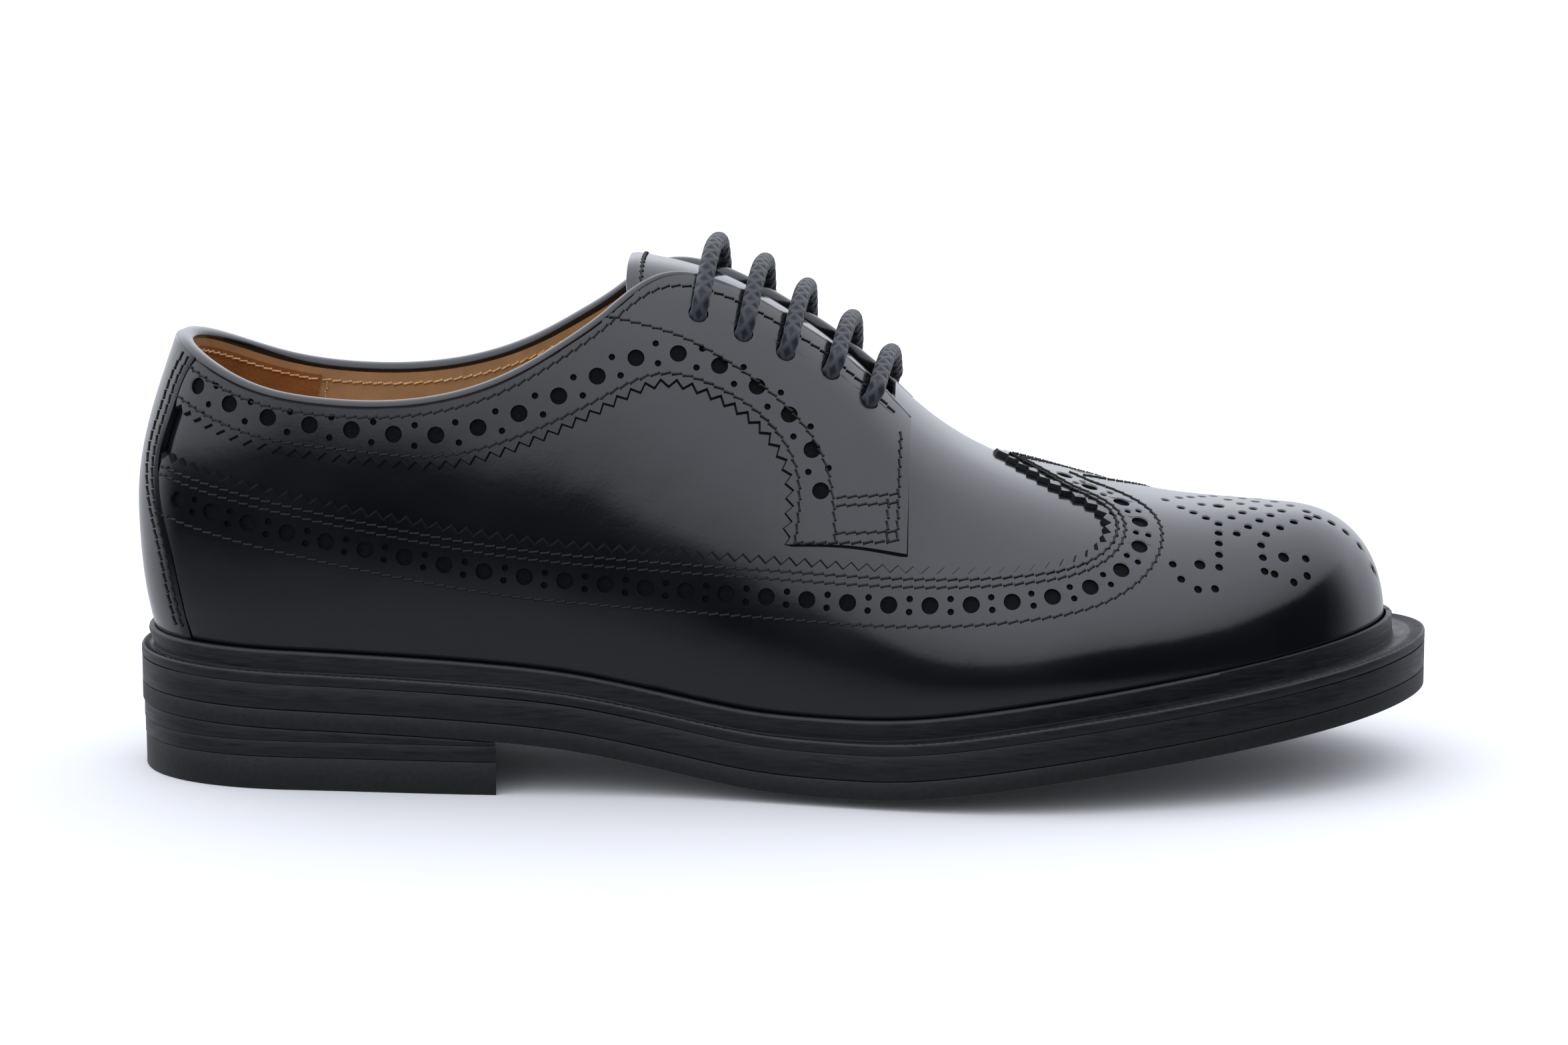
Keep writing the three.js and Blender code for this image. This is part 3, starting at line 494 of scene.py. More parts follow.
def stay_edge(last, side, grown=0.0):
    """Edge of the back stay on one side, from the welt up."""
    v = np.linspace(0, 1, 60)
    u = last.station_u(last.back_x + last.length * STAY_EDGE("place", v) + grown)
    low = last.at_height(last.station_x(u), last.feather_z(last.station_x(u)) + TOP_STEP, side)[:, 1]
    high = last.topline(u, side, TOP_STEP)[:, 1]
    return np.stack([u, low + (high - low) * v], -1)


def piece(name, points, faces, finishes, nodes, slot, sharp=40.0, uv=None, cut_from=None, normals=None):
    """A mesh object from millimetre points: welded, faces outwards, smooth but for its sharp edges.

    The faces from number cut_from on are a sheet's cut edges: flat, in the second of the finishes. Normals are the
    ones of the form that the sheet follows, and keep its reflections clean.
    """
    mesh = bpy.data.meshes.new(name)
    mesh.from_pydata((np.asarray(points, float) * MM).tolist(), [], [list(map(int, face)) for face in faces])
    if cut_from is not None:
        mesh.polygons.foreach_set("material_index", (np.arange(len(faces)) >= cut_from).astype(np.int32))
    if uv is not None:
        layer = mesh.uv_layers.new(name="UVMap")
        corners = np.empty(len(mesh.loops), int)
        mesh.loops.foreach_get("vertex_index", corners)
        layer.data.foreach_set("uv", np.asarray(uv, np.float32)[corners].ravel())
    work = bmesh.new()
    work.from_mesh(mesh)
    if normals is None:
        bmesh.ops.remove_doubles(work, verts=work.verts, dist=2e-6)
        bmesh.ops.dissolve_degenerate(work, edges=work.edges, dist=1e-7)
    bmesh.ops.recalc_face_normals(work, faces=work.faces)
    work.to_mesh(mesh)
    work.free()
    mesh.polygons.foreach_set("use_smooth", np.ones(len(mesh.polygons), bool))
    mesh.set_sharp_from_angle(angle=math.radians(sharp))
    if normals is not None:
        follow_form(mesh, normals)
    made = bpy.data.objects.new(name, mesh)
    bpy.context.scene.collection.objects.link(made)
    for name in finishes.split():
        made.data.materials.append(finish(name))
    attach(made, "root")
    if nodes:
        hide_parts(*nodes)
    return made


def follow_form(mesh, normals):
    """Gives the corners of a sheet's two faces the form's own normals, and its cut edges flat ones."""
    count = len(mesh.loops)
    vertex, owner = np.empty(count, np.int32), np.empty(count, np.int32)
    mesh.loops.foreach_get("vertex_index", vertex)
    starts, sizes = (np.empty(len(mesh.polygons), np.int32) for _ in range(2))
    mesh.polygons.foreach_get("loop_start", starts)
    mesh.polygons.foreach_get("loop_total", sizes)
    for k in range(sizes.max()):
        chosen = sizes > k
        owner[starts[chosen] + k] = np.flatnonzero(chosen)
    flat = np.empty(3 * len(mesh.polygons), np.float32)
    mesh.polygons.foreach_get("normal", flat)
    flat = flat.reshape(-1, 3)[owner]
    kind = np.empty(len(mesh.polygons), np.int32)
    mesh.polygons.foreach_get("material_index", kind)
    form = np.asarray(normals)[vertex]
    form = form * np.sign((form * flat).sum(-1, keepdims=True))
    mesh.normals_split_custom_set(np.where(kind[owner][:, None] == 0, form, flat).tolist())


def grid(rows, columns, wrap_rows=False, wrap_columns=False, start=0):
    """Quads of a grid of points, joined end to end where it wraps."""
    i = np.arange(rows if wrap_rows else rows - 1)
    j = np.arange(columns if wrap_columns else columns - 1)
    i, j = np.meshgrid(i, j, indexing="ij")
    a = i * columns + j
    b = (i + 1) % rows * columns + j
    c = (i + 1) % rows * columns + (j + 1) % columns
    d = i * columns + (j + 1) % columns
    return start + np.stack([a, b, c, d], -1).reshape(-1, 4)


def sheet(outer, inner):
    """A closed sheet: two grids of points, and walls round their rim."""
    rows, columns = outer.shape[:2]
    count = rows * columns
    top = grid(rows, columns)
    ids = np.arange(count).reshape(rows, columns)
    rim = np.concatenate([ids[:-1, 0], ids[-1, :-1], ids[:0:-1, -1], ids[0, :0:-1]])
    following = np.roll(rim, -1)
    wall = np.stack([rim, rim + count, following + count, following], -1)
    points = np.concatenate([outer.reshape(-1, 3), inner.reshape(-1, 3)])
    return points, np.concatenate([top, top[:, ::-1] + count, wall])


def tube(path, normals, profile, closed=False):
    """A profile of (sideways, upwards) pairs carried along a path; its ends are drawn together."""
    tangent = np.gradient(path, axis=0)
    if closed:
        tangent = np.roll(path, -1, 0) - np.roll(path, 1, 0)
    across = unit(np.cross(unit(tangent), normals))
    rings = path[:, None] + across[:, None] * profile[None, :, :1] + normals[:, None] * profile[None, :, 1:]
    rows, columns = rings.shape[:2]
    points = rings.reshape(-1, 3)
    faces = grid(rows, columns, wrap_rows=closed, wrap_columns=True)
    if closed:
        return points, faces.tolist()
    caps = [list(range(columns)), list(range(rows * columns - 1, (rows - 1) * columns - 1, -1))]
    return points, faces.tolist() + caps


def ellipse(wide, tall, sides):
    """An ellipse's profile as (sideways, upwards) pairs."""
    angle = np.linspace(0, 2 * np.pi, sides, endpoint=False)
    return np.stack([wide * np.cos(angle), tall * np.sin(angle)], -1)


def joined(parts):
    """Several (points, faces) pairs as one."""
    points, faces, start = [], [], 0
    for part_points, part_faces in parts:
        points.append(part_points)
        faces += [[v + start for v in face] for face in part_faces]
        start += len(part_points)
    return np.concatenate(points), faces


def inside(points, polygon):
    """Which points lie inside a polygon, by counting the edges to their right."""
    x, y = points[:, 0], points[:, 1]
    found = np.zeros(len(points), bool)
    ahead = np.roll(polygon, -1, 0)
    for (x0, y0), (x1, y1) in zip(polygon, ahead):
        if y0 != y1:
            crosses = (y0 > y) != (y1 > y)
            found ^= crosses & (x < (x1 - x0) * (y - y0) / (y1 - y0) + x0)
    return found


def nearest(points, others):
    """Distance from each point to the nearest of the others."""
    parts = [
        np.sqrt(((chunk[:, None] - others[None]) ** 2).sum(-1).min(1))
        for chunk in np.array_split(points, max(len(points) // 200, 1))
    ]
    return np.concatenate(parts)


def ring(last, centre, radius, sides):
    """A round hole's rim: a circle in the tangent plane, brought back to (u, g)."""
    along, across = last.slopes(centre[None], 1e-3)
    first = unit(along)
    second = unit(across - first * (first * across).sum(-1, keepdims=True))
    angle = np.linspace(0, 2 * np.pi, sides, endpoint=False)[:, None]
    step = radius * (np.cos(angle) * first + np.sin(angle) * second)
    return last.moved(np.repeat(centre[None], sides, 0), step)


STRETCH = np.array([222.0, 108.0])  # millimetres per unit of u and of g at mid-length, for even triangles


def punched_panel(last, border, holes, outer, inner, sides, mesh_size=2.0, bevel=0.28):
    """A leather panel: its border and its round holes are triangulated on the last, and given a wall.

    border is a loop of (u, g); holes are (centre, radius) pairs; rims are rounded by a small bevel.
    """
    loops = [border] + [ring(last, centre, radius, sides) for centre, radius in holes]
    collars = [ring(last, centre, radius + bevel, sides) for centre, radius in holes]
    rims = np.concatenate(loops)
    owner = np.concatenate([np.full(len(loop), k) for k, loop in enumerate(loops)])
    flat_border = border * STRETCH
    low, high = flat_border.min(0), flat_border.max(0)
    steps = np.ceil((high - low) / mesh_size).astype(int)
    a, b = np.meshgrid(np.arange(steps[0]), np.arange(steps[1]), indexing="ij")
    field = low + (np.stack([a + 0.5 * (b % 2), b + 0.5], -1).reshape(-1, 2)) * mesh_size
    field = field[inside(field, flat_border)]
    for loop in loops[1:]:
        field = field[~inside(field, loop * STRETCH)]
    used = np.concatenate([rims] + collars) * STRETCH
    field = field[nearest(field, used) > mesh_size * 0.45]
    inner_ring = np.concatenate(collars) if collars else np.zeros((0, 2))
    flat = np.concatenate([rims * STRETCH, inner_ring * STRETCH, field])
    lowered = np.zeros(len(flat))
    lowered[:len(rims)] = bevel
    owner = np.concatenate([owner, np.full(len(flat) - len(rims), -1)])
    edges, start = [], 0
    for loop in loops:
        ids = np.arange(start, start + len(loop))
        edges += np.stack([ids, np.roll(ids, -1)], -1).tolist()
        start += len(loop)
    found = delaunay_2d_cdt([Vector(p) for p in flat], edges, [], 1, 1e-5)
    spots = np.array([list(p) for p in found[0]])
    source = np.array([ids[0] if ids else -1 for ids in found[3]])
    kind = np.where(source < 0, -1, owner[source])
    drop = np.where(source < 0, 0.0, lowered[source])
    triangles = np.array(found[2])
    hole = (kind[triangles] > 0).all(1) & (kind[triangles][:, :1] == kind[triangles]).all(1)
    triangles = triangles[~hole]
    ug = spots / STRETCH
    top = last.skin(ug, outer - drop)
    low_ug = ug.copy()
    low_ug[kind == 0] = flared(last, border)[source[kind == 0]]
    bottom = last.skin(low_ug, np.full(len(ug), inner))
    points, faces = walled(top, bottom, triangles)
    return points, faces, {"cut_from": 2 * len(triangles), "normals": np.tile(last.normal(ug), (2, 1))}


# The sloped cut edge shows as a dark band beside each overlay: the real inked edge, widened to stand for the painted
# shadow under the overlay's edge
SHADOW_LINE_FLARE = 0.5  # how far a panel's cut edge slopes outwards


def flared(last, border):
    """A panel's border moved outwards across its run, for the foot of its cut edge: the sloped dark edge stands for
    the painted shadow line under the overlay.
    """
    points = last.point(border)
    run = unit(np.roll(points, -1, 0) - np.roll(points, 1, 0))
    outwards = np.cross(run, last.normal(border))
    x, y = (border * STRETCH).T
    turn = np.sign((x * np.roll(y, -1) - np.roll(x, -1) * y).sum())
    return last.moved(border, turn * SHADOW_LINE_FLARE * outwards)


def underlay_shade_discs(last, holes, low, high, grown=0.25, sides=12):
    """Closed discs of dark matt leather, a raw underlay darkened as painted shade of the holes, that lie under the
    holes, a little wider than each of them.
    """
    parts = []
    for centre, radius in holes:
        rim = ring(last, centre, radius + grown, sides)
        points = np.concatenate([last.skin(rim, np.full(sides, low)), last.skin(rim, np.full(sides, high))])
        faces = grid(2, sides, wrap_columns=True).tolist()
        parts.append((points, faces + [list(range(sides)), list(range(2 * sides - 1, sides - 1, -1))]))
    return joined(parts)


def walled(top, bottom, triangles):
    """Two copies of a triangulated sheet, joined along every border edge."""
    count = len(top)
    pairs = np.concatenate([triangles[:, [0, 1]], triangles[:, [1, 2]], triangles[:, [2, 0]]])
    key = np.sort(pairs, 1)
    _, first, uses = np.unique(key[:, 0] * count + key[:, 1], return_index=True, return_counts=True)
    rim = pairs[first[uses == 1]]
    wall = np.stack([rim[:, 0], rim[:, 1], rim[:, 1] + count, rim[:, 0] + count], -1)
    faces = triangles.tolist() + (triangles[:, ::-1] + count).tolist() + wall[:, ::-1].tolist()
    return np.concatenate([top, bottom]), faces


STITCH_SIDES = 5


def stitches(points, tangents, normals, length, radius, slant=0.2):
    """Stitches as five-sided tubes: thin along the middle, thick where the thread dives in at both ends."""
    along = np.array([-0.5, -0.42, -0.3, 0.3, 0.42, 0.5]) * length
    girth = np.array([0.5, 1.15, 0.75, 0.75, 1.15, 0.5]) * radius
    sink = np.array([-0.6, 0.0, 0.1, 0.1, 0.0, -0.6]) * radius
    angle = np.linspace(0, 2 * np.pi, STITCH_SIDES, endpoint=False)
    side = unit(np.cross(normals, tangents))
    forward = unit(tangents + side * slant)
    side = unit(np.cross(normals, forward))
    ringed = (
        points[:, None, None]
        + forward[:, None, None] * along[None, :, None, None]
        + side[:, None, None] * (girth[:, None] * np.cos(angle))[None, :, :, None]
        + normals[:, None, None] * (sink[:, None] + girth[:, None] * np.sin(angle))[None, :, :, None]
    )
    rings = len(along)
    one = grid(rings, STITCH_SIDES, wrap_columns=True)
    starts = np.arange(len(points))[:, None, None] * rings * STITCH_SIDES
    faces = (one[None] + starts).reshape(-1, 4).tolist()
    cap = np.arange(STITCH_SIDES)
    caps = np.concatenate([cap[None, ::-1] + starts[:, 0], cap[None] + (rings - 1) * STITCH_SIDES + starts[:, 0]])
    return ringed.reshape(-1, 3), faces + caps.tolist()


def stitch_row(last, curve, offset, pitch, thread, slant=0.2, inward=False):
    """A row of stitches along a curve on the last, lying on a face at an offset."""
    fine = spaced(last, curve, pitch=pitch)
    middle = (fine[:-1] + fine[1:]) / 2
    normal = last.normal(middle) * (-1 if inward else 1)
    points = last.skin(middle, np.full(len(middle), offset))
    tangent = unit(np.gradient(points, axis=0))
    return stitches(points, tangent, normal, pitch * 0.97, thread / 2, slant)


def node(tree, kind, settings=None, **links):
    """Adds a node: settings go to its attributes or its input sockets, links join sockets by name."""
    made = tree.nodes.new(kind)
    for key, value in (settings or {}).items():
        if isinstance(key, str) and hasattr(made, key):
            setattr(made, key, value)
        else:
            made.inputs[key].default_value = value
    for key, source in links.items():
        name = key.replace("_", " ")
        target = made.inputs[int(key[1:])] if key[0] == "i" and key[1:].isdigit() else made.inputs[name]
        tree.links.new(source, target)
    return made


def blank(name):
    """An empty node material with its output node, or the one already made."""
    made = bpy.data.materials.new(name)
    made.use_nodes = True
    made.node_tree.nodes.clear()
    return made, made.node_tree


def finished(tree, shader):
    """Joins the shader to the material's output."""
    node(tree, "ShaderNodeOutputMaterial", Surface=shader.outputs["BSDF"])


def ramp(tree, source, low, high, dark, light):
    """A colour between dark and light as a value goes from low to high."""
    made = node(tree, "ShaderNodeValToRGB", Fac=source)
    made.color_ramp.elements[0].position = low
    made.color_ramp.elements[0].color = dark
    made.color_ramp.elements[1].position = high
    made.color_ramp.elements[1].color = light
    return made.outputs["Color"]


def scaled(rgba, factor):
    """A colour made darker or lighter."""
    return (*(min(c * factor, 1.0) for c in rgba[:3]), 1.0)


def polished_calf(tone):
    """Polished black box calf: grain under wax, so a clear gloss over faint pores and soft ripples."""
    made, tree = blank("polished_black_calf")
    spot = node(tree, "ShaderNodeTexCoord").outputs["Object"]
    pores = node(tree, "ShaderNodeTexVoronoi", {"Scale": 1 / 0.0007}, Vector=spot)
    grain = node(tree, "ShaderNodeTexNoise", {"Scale": 1 / 0.0016, "Detail": 3.0}, Vector=spot)
    ripple = node(tree, "ShaderNodeTexNoise", {"Scale": 1 / 0.022, "Detail": 1.5}, Vector=spot)
    clouds = node(tree, "ShaderNodeTexNoise", {"Scale": 1 / 0.035, "Detail": 2.0}, Vector=spot)
    pored = node(tree, "ShaderNodeBump", {"Strength": 0.05, "Distance": 0.00012}, Height=pores.outputs["Distance"])
    grained = node(
        tree, "ShaderNodeBump", {"Strength": 0.10, "Distance": 0.0002},
        Height=grain.outputs["Fac"], Normal=pored.outputs["Normal"],
    )
    rippled = node(
        tree, "ShaderNodeBump", {"Strength": 0.12, "Distance": 0.004},
        Height=ripple.outputs["Fac"], Normal=grained.outputs["Normal"],
    )
    base = ramp(tree, clouds.outputs["Fac"], 0.3, 0.75, scaled(tone, 0.8), scaled(tone, 1.3))
    rough = node(
        tree, "ShaderNodeMapRange", {"From Min": 0.3, "From Max": 0.7, "To Min": 0.17, "To Max": 0.25},
        Value=clouds.outputs["Fac"],
    )
    shader = node(
        tree, "ShaderNodeBsdfPrincipled",
        {"IOR": 1.5, "Coat Weight": 0.7, "Coat Roughness": 0.07, "Coat IOR": 1.5},
        Base_Color=base, Roughness=rough.outputs["Result"], Normal=rippled.outputs["Normal"],
    )
    finished(tree, shader)
    return made


def cut_edge(tone):
    """Cut edge of black-dyed leather, inked and rubbed: a low gloss over short fibres. On the panels' sloped borders
    it also serves as the painted shadow under their edges.
    """
    made, tree = blank("inked_cut_edge")
    spot = node(tree, "ShaderNodeTexCoord").outputs["Object"]
    fibre = node(tree, "ShaderNodeTexNoise", {"Scale": 1 / 0.0006, "Detail": 2.0}, Vector=spot)
    base = ramp(tree, fibre.outputs["Fac"], 0.3, 0.75, scaled(tone, 0.6), scaled(tone, 1.6))
    bump = node(tree, "ShaderNodeBump", {"Strength": 0.2, "Distance": 0.0002}, Height=fibre.outputs["Fac"])
    shader = node(
        tree, "ShaderNodeBsdfPrincipled", {"IOR": 1.5, "Roughness": 0.6, "Specular IOR Level": 0.3},
        Base_Color=base, Normal=bump.outputs["Normal"],
    )
    finished(tree, shader)
    return made


def hole_underlay_shade_leather(tone):
    """Black-dyed leather left matt and fibrous; its dark tone is partly a matt underlay and partly painted shade in
    the punched holes.
    """
    made, tree = blank("raw_black_leather")
    spot = node(tree, "ShaderNodeTexCoord").outputs["Object"]
    fibre = node(tree, "ShaderNodeTexNoise", {"Scale": 1 / 0.0006, "Detail": 3.0}, Vector=spot)
    base = ramp(tree, fibre.outputs["Fac"], 0.3, 0.75, scaled(tone, 0.6), scaled(tone, 2.4))
    bump = node(tree, "ShaderNodeBump", {"Strength": 0.5, "Distance": 0.0003}, Height=fibre.outputs["Fac"])
    shader = node(
        tree, "ShaderNodeBsdfPrincipled", {"IOR": 1.4, "Roughness": 0.75, "Specular IOR Level": 0.2},
        Base_Color=base, Normal=bump.outputs["Normal"],
    )
    finished(tree, shader)
    return made


def dressed_edge(tone):
    """Leather and rubber edges, sanded, inked and burnished: fine level scratches under a low sheen."""
    made, tree = blank("burnished_sole_edge")
    spot = node(tree, "ShaderNodeTexCoord").outputs["Object"]
    stretched = node(tree, "ShaderNodeMapping", {"Scale": (1.0, 1.0, 9.0)}, Vector=spot)
    streaks = node(tree, "ShaderNodeTexNoise", {"Scale": 1 / 0.006, "Detail": 5.0}, Vector=stretched.outputs["Vector"])
    base = ramp(tree, streaks.outputs["Fac"], 0.3, 0.75, scaled(tone, 0.7), scaled(tone, 1.5))
    rough = node(
        tree, "ShaderNodeMapRange", {"From Min": 0.3, "From Max": 0.7, "To Min": 0.36, "To Max": 0.52},
        Value=streaks.outputs["Fac"],
    )
    bump = node(tree, "ShaderNodeBump", {"Strength": 0.25, "Distance": 0.0002}, Height=streaks.outputs["Fac"])
    shader = node(
        tree, "ShaderNodeBsdfPrincipled", {"IOR": 1.5},
        Base_Color=base, Roughness=rough.outputs["Result"], Normal=bump.outputs["Normal"],
    )
    finished(tree, shader)
    return made


def moulded_rubber(tone):
    """Moulded rubber: a dull black with a fine speckle."""
    made, tree = blank("moulded_black_rubber")
    spot = node(tree, "ShaderNodeTexCoord").outputs["Object"]
    speckle = node(tree, "ShaderNodeTexNoise", {"Scale": 1 / 0.0012, "Detail": 4.0}, Vector=spot)
    base = ramp(tree, speckle.outputs["Fac"], 0.35, 0.75, scaled(tone, 0.75), scaled(tone, 1.6))
    bump = node(tree, "ShaderNodeBump", {"Strength": 0.3, "Distance": 0.0002}, Height=speckle.outputs["Fac"])
    shader = node(
        tree, "ShaderNodeBsdfPrincipled", {"IOR": 1.52, "Roughness": 0.55},
        Base_Color=base, Normal=bump.outputs["Normal"],
    )
    finished(tree, shader)
    return made


def tanned_lining(tone, name="vegetable_tanned_lining", roughness=0.5, pile=0.0004, depth=0.3):
    """Vegetable tanned lining leather: warm, matt and lightly creased. With a short pile it is suede."""
    made, tree = blank(name)
    spot = node(tree, "ShaderNodeTexCoord").outputs["Object"]
    nap = node(tree, "ShaderNodeTexNoise", {"Scale": 1 / pile / 2, "Detail": 3.0}, Vector=spot)
    wrinkles = node(tree, "ShaderNodeTexNoise", {"Scale": 1 / 0.012, "Detail": 4.0, "Distortion": 0.6}, Vector=spot)
    base = ramp(tree, wrinkles.outputs["Fac"], 0.3, 0.72, scaled(tone, 0.78), scaled(tone, 1.12))
    fine = node(tree, "ShaderNodeBump", {"Strength": depth, "Distance": 0.0002}, Height=nap.outputs["Fac"])
    bump = node(
        tree, "ShaderNodeBump", {"Strength": 0.35, "Distance": 0.0012},
        Height=wrinkles.outputs["Fac"], Normal=fine.outputs["Normal"],
    )
    shader = node(
        tree, "ShaderNodeBsdfPrincipled", {"IOR": 1.45, "Roughness": roughness},
        Base_Color=base, Normal=bump.outputs["Normal"],
    )
    finished(tree, shader)
    return made


def twisted_thread(tone):
    """Bonded polyester sewing thread: a low sheen, darker in its twist."""
    made, tree = blank("bonded_sewing_thread")
    spot = node(tree, "ShaderNodeTexCoord").outputs["Object"]
    fibre = node(tree, "ShaderNodeTexNoise", {"Scale": 1 / 0.0005, "Detail": 2.0}, Vector=spot)
    base = ramp(tree, fibre.outputs["Fac"], 0.3, 0.7, scaled(tone, 0.7), scaled(tone, 1.5))
    shader = node(tree, "ShaderNodeBsdfPrincipled", {"IOR": 1.5, "Roughness": 0.6}, Base_Color=base)
    finished(tree, shader)
    return made


def braided_cotton(tone):
    """Waxed cotton lace: painted shade between the strands, drawn by the same crossing waves as their relief."""
    made, tree = blank("waxed_cotton_braid")
    spot = node(tree, "ShaderNodeTexCoord").outputs["UV"]
    waves = []
    for turn in (math.pi / 4, -math.pi / 4):
        turned = node(tree, "ShaderNodeMapping", {"Rotation": (0.0, 0.0, turn)}, Vector=spot)
        waves.append(node(tree, "ShaderNodeTexWave", {"Scale": BRAID_WAVE}, Vector=turned.outputs["Vector"]))
    braid_relief_and_shade = node(
        tree, "ShaderNodeMath", {"operation": "MAXIMUM"}, i0=waves[0].outputs["Fac"], i1=waves[1].outputs["Fac"]
    )
    # Painted shade: the colour darkens between the strands, where the relief dips
    base = ramp(tree, braid_relief_and_shade.outputs["Value"], 0.35, 0.95, scaled(tone, 0.25), scaled(tone, 1.7))
    bump = node(tree, "ShaderNodeBump", {"Strength": 0.5, "Distance": 0.0002}, Height=braid_relief_and_shade.outputs["Value"])
    shader = node(
        tree, "ShaderNodeBsdfPrincipled", {"IOR": 1.45, "Roughness": 0.55, "Sheen Weight": 0.15},
        Base_Color=base, Normal=bump.outputs["Normal"],
    )
    finished(tree, shader)
    return made


def pale_floor(tone):
    """Seamless studio floor: matt and plain."""
    made, tree = blank("seamless_floor")
    shader = node(tree, "ShaderNodeBsdfPrincipled", {"Base Color": tone, "Roughness": 0.9, "IOR": 1.3})
    finished(tree, shader)
    return made


MAKERS = {
    "calf": polished_calf,
    "cut": cut_edge,
    "raw": hole_underlay_shade_leather,
    "edge": dressed_edge,
    "rubber": moulded_rubber,
    "lining": tanned_lining,
    "suede": lambda tone: tanned_lining(tone, "suede_heel_grip", 0.9, 0.0003, 0.8),
    "thread": twisted_thread,
    "lining_thread": twisted_thread,
    "lace": braided_cotton,
    "floor": pale_floor,
}
made_finishes = {}


def finish(name):
    """The material of a colour property, made once."""
    if name not in made_finishes:
        made_finishes[name] = MAKERS[name](tuple(getattr(bpy.context.scene.shoe_colours, name)))
    return made_finishes[name]


def shoe():
    """The last in its present sizes."""
    return Last(bpy.context.scene.shoe_sizes)


def brogue(name):
    """A size of the brogue work in millimetres."""
    return getattr(bpy.context.scene.brogue_sizes, name) / MM


def ring_normals(xy):
    """Outward normals of a closed plan outline that runs outer side first."""
    run = np.roll(xy, -1, 0) - np.roll(xy, 1, 0)
    return unit(np.stack([run[:, 1], -run[:, 0]], -1))


def layer(xy, centres, top, bottom, rounding, fill=(0.93, 0.8, 0.55, 0.25, 0.0)):
    """A closed layer: its outline carried round a rounded edge, then drawn in to the centres."""
    out = ring_normals(xy)
    r = rounding
    rims = [(r, 1, 0), (0.3 * r, 1, 0.3 * r), (0, 1, r), (0, -1, r), (0.3 * r, -1, 0.3 * r), (r, -1, 0)]

    def level(plan, side, depth):
        z = top(plan[:, 0], plan[:, 1]) - depth if side > 0 else bottom(plan[:, 0], plan[:, 1]) + depth
        return np.column_stack([plan, z])

    drawn = xy - out * r
    rows = [level(centres + (drawn - centres) * k, 1, 0) for k in reversed(fill)]
    rows += [level(xy - out * inset, side, depth) for inset, side, depth in rims]
    rows += [level(centres + (drawn - centres) * k, -1, 0) for k in fill]
    points = np.stack(rows)
    return points.reshape(-1, 3), grid(points.shape[0], points.shape[1], wrap_columns=True).tolist()


def sole_ring(last, stations, inset=0.0):
    """Plan outline of the sole with its centre line, as many points on the outer side as on the inner."""
    x = (last.front_x - inset) * -np.cos(np.linspace(0, np.pi, stations + 1))
    outer = np.column_stack([x, last.sole_y(x, -1) + inset])
    inner = np.column_stack([x, last.sole_y(x, 1) - inset])[-2:0:-1]
    outer[0, 1] = outer[-1, 1] = 0
    outer[0, 1], outer[-1, 1] = last.centre_y(x[:1])[0], last.centre_y(x[-1:])[0]
    xy = np.concatenate([outer, inner])
    centres = np.column_stack([xy[:, 0] * 0.93, last.centre_y(xy[:, 0])])
    return xy, centres


def heel_ring(last, stations, inset=0.0):
    """Plan outline of the heel: the sole's outline up to the corners, then the hollow breast."""
    corner = last.back_x + last.heel_length
    t = np.linspace(0, 1, stations + 1)
    x = last.back_x + inset + (corner - last.back_x - inset) * (1 - np.cos(np.pi / 2 * t))
    rim = last.back_x + (x - last.back_x - inset) * last.heel_length / (last.heel_length - inset)
    outer = np.column_stack([x, last.sole_y(rim, -1) + inset])
    inner = np.column_stack([x, last.sole_y(rim, 1) - inset])
    outer[0, 1] = last.centre_y(rim[:1])[0]
    v = np.linspace(-1, 1, 21)[1:-1]
    breast = np.column_stack([
        corner - last.breast_hollow * (1 - v * v), (outer[-1, 1] * (1 - v) + inner[-1, 1] * (1 + v)) / 2
    ])
    xy = np.concatenate([outer, breast, inner[:0:-1]])
    return xy, np.repeat(xy.mean(0)[None], len(xy), 0)


class BROGUE_OT_sole(bpy.types.Operator):
    """Outsole, midsole and the heel's layers, each with a rounded edge"""

    bl_idname = "brogue.sole"
    bl_label = "Sole and heel"

    def execute(self, context):
        last = shoe()
        xy, centres = sole_ring(last, 110)
        gap = last.gap
        top = lambda x, y: last.welt_top(x) - last.welt - 2 * gap - last.midsole
        points, faces = layer(xy, centres, top, last.sole_bottom, 0.25, (0.97, 0.9, 0.75, 0.5, 0.25, 0.0))
        piece("outsole_rubber", points, faces, "rubber", ["outsole"], "sole_rubber")
        xy, centres = sole_ring(last, 110, 0.15)
        top = lambda x, y: last.welt_top(x) - last.welt - gap + 0.2
        low = lambda x, y: last.welt_top(x) - last.welt - gap - last.midsole - 0.15
        points, faces = layer(xy, centres, top, low, 0.15)
        piece("midsole_edge", points, faces, "edge", ["midsole"], "sole_rubber")
        split = last.top_piece + gap + 3.5
        for name, high, low, inset, node_name, tone, rounding in (
            ("heel_lift_upper", lambda x, y: last.edge_under(x) - gap + 0.1, lambda x, y: 0 * x + split + 0.05,
             0.3, "heel_lifts", "edge", 0.12),
            ("heel_lift_lower", lambda x, y: 0 * x + split - 0.05, lambda x, y: 0 * x + last.top_piece + 0.1,
             0.4, "heel_lifts", "edge", 0.12),
            ("heel_top_piece_rubber", lambda x, y: 0 * x + last.top_piece, lambda x, y: 0 * x,
             0.5, "heel_top_piece", "rubber", 0.3),
        ):
            xy, centres = heel_ring(last, 40, inset)
            points, faces = layer(xy, centres, high, low, rounding)
            piece(name, points, faces, tone, [node_name], "sole_rubber", sharp=30)
        return {"FINISHED"}


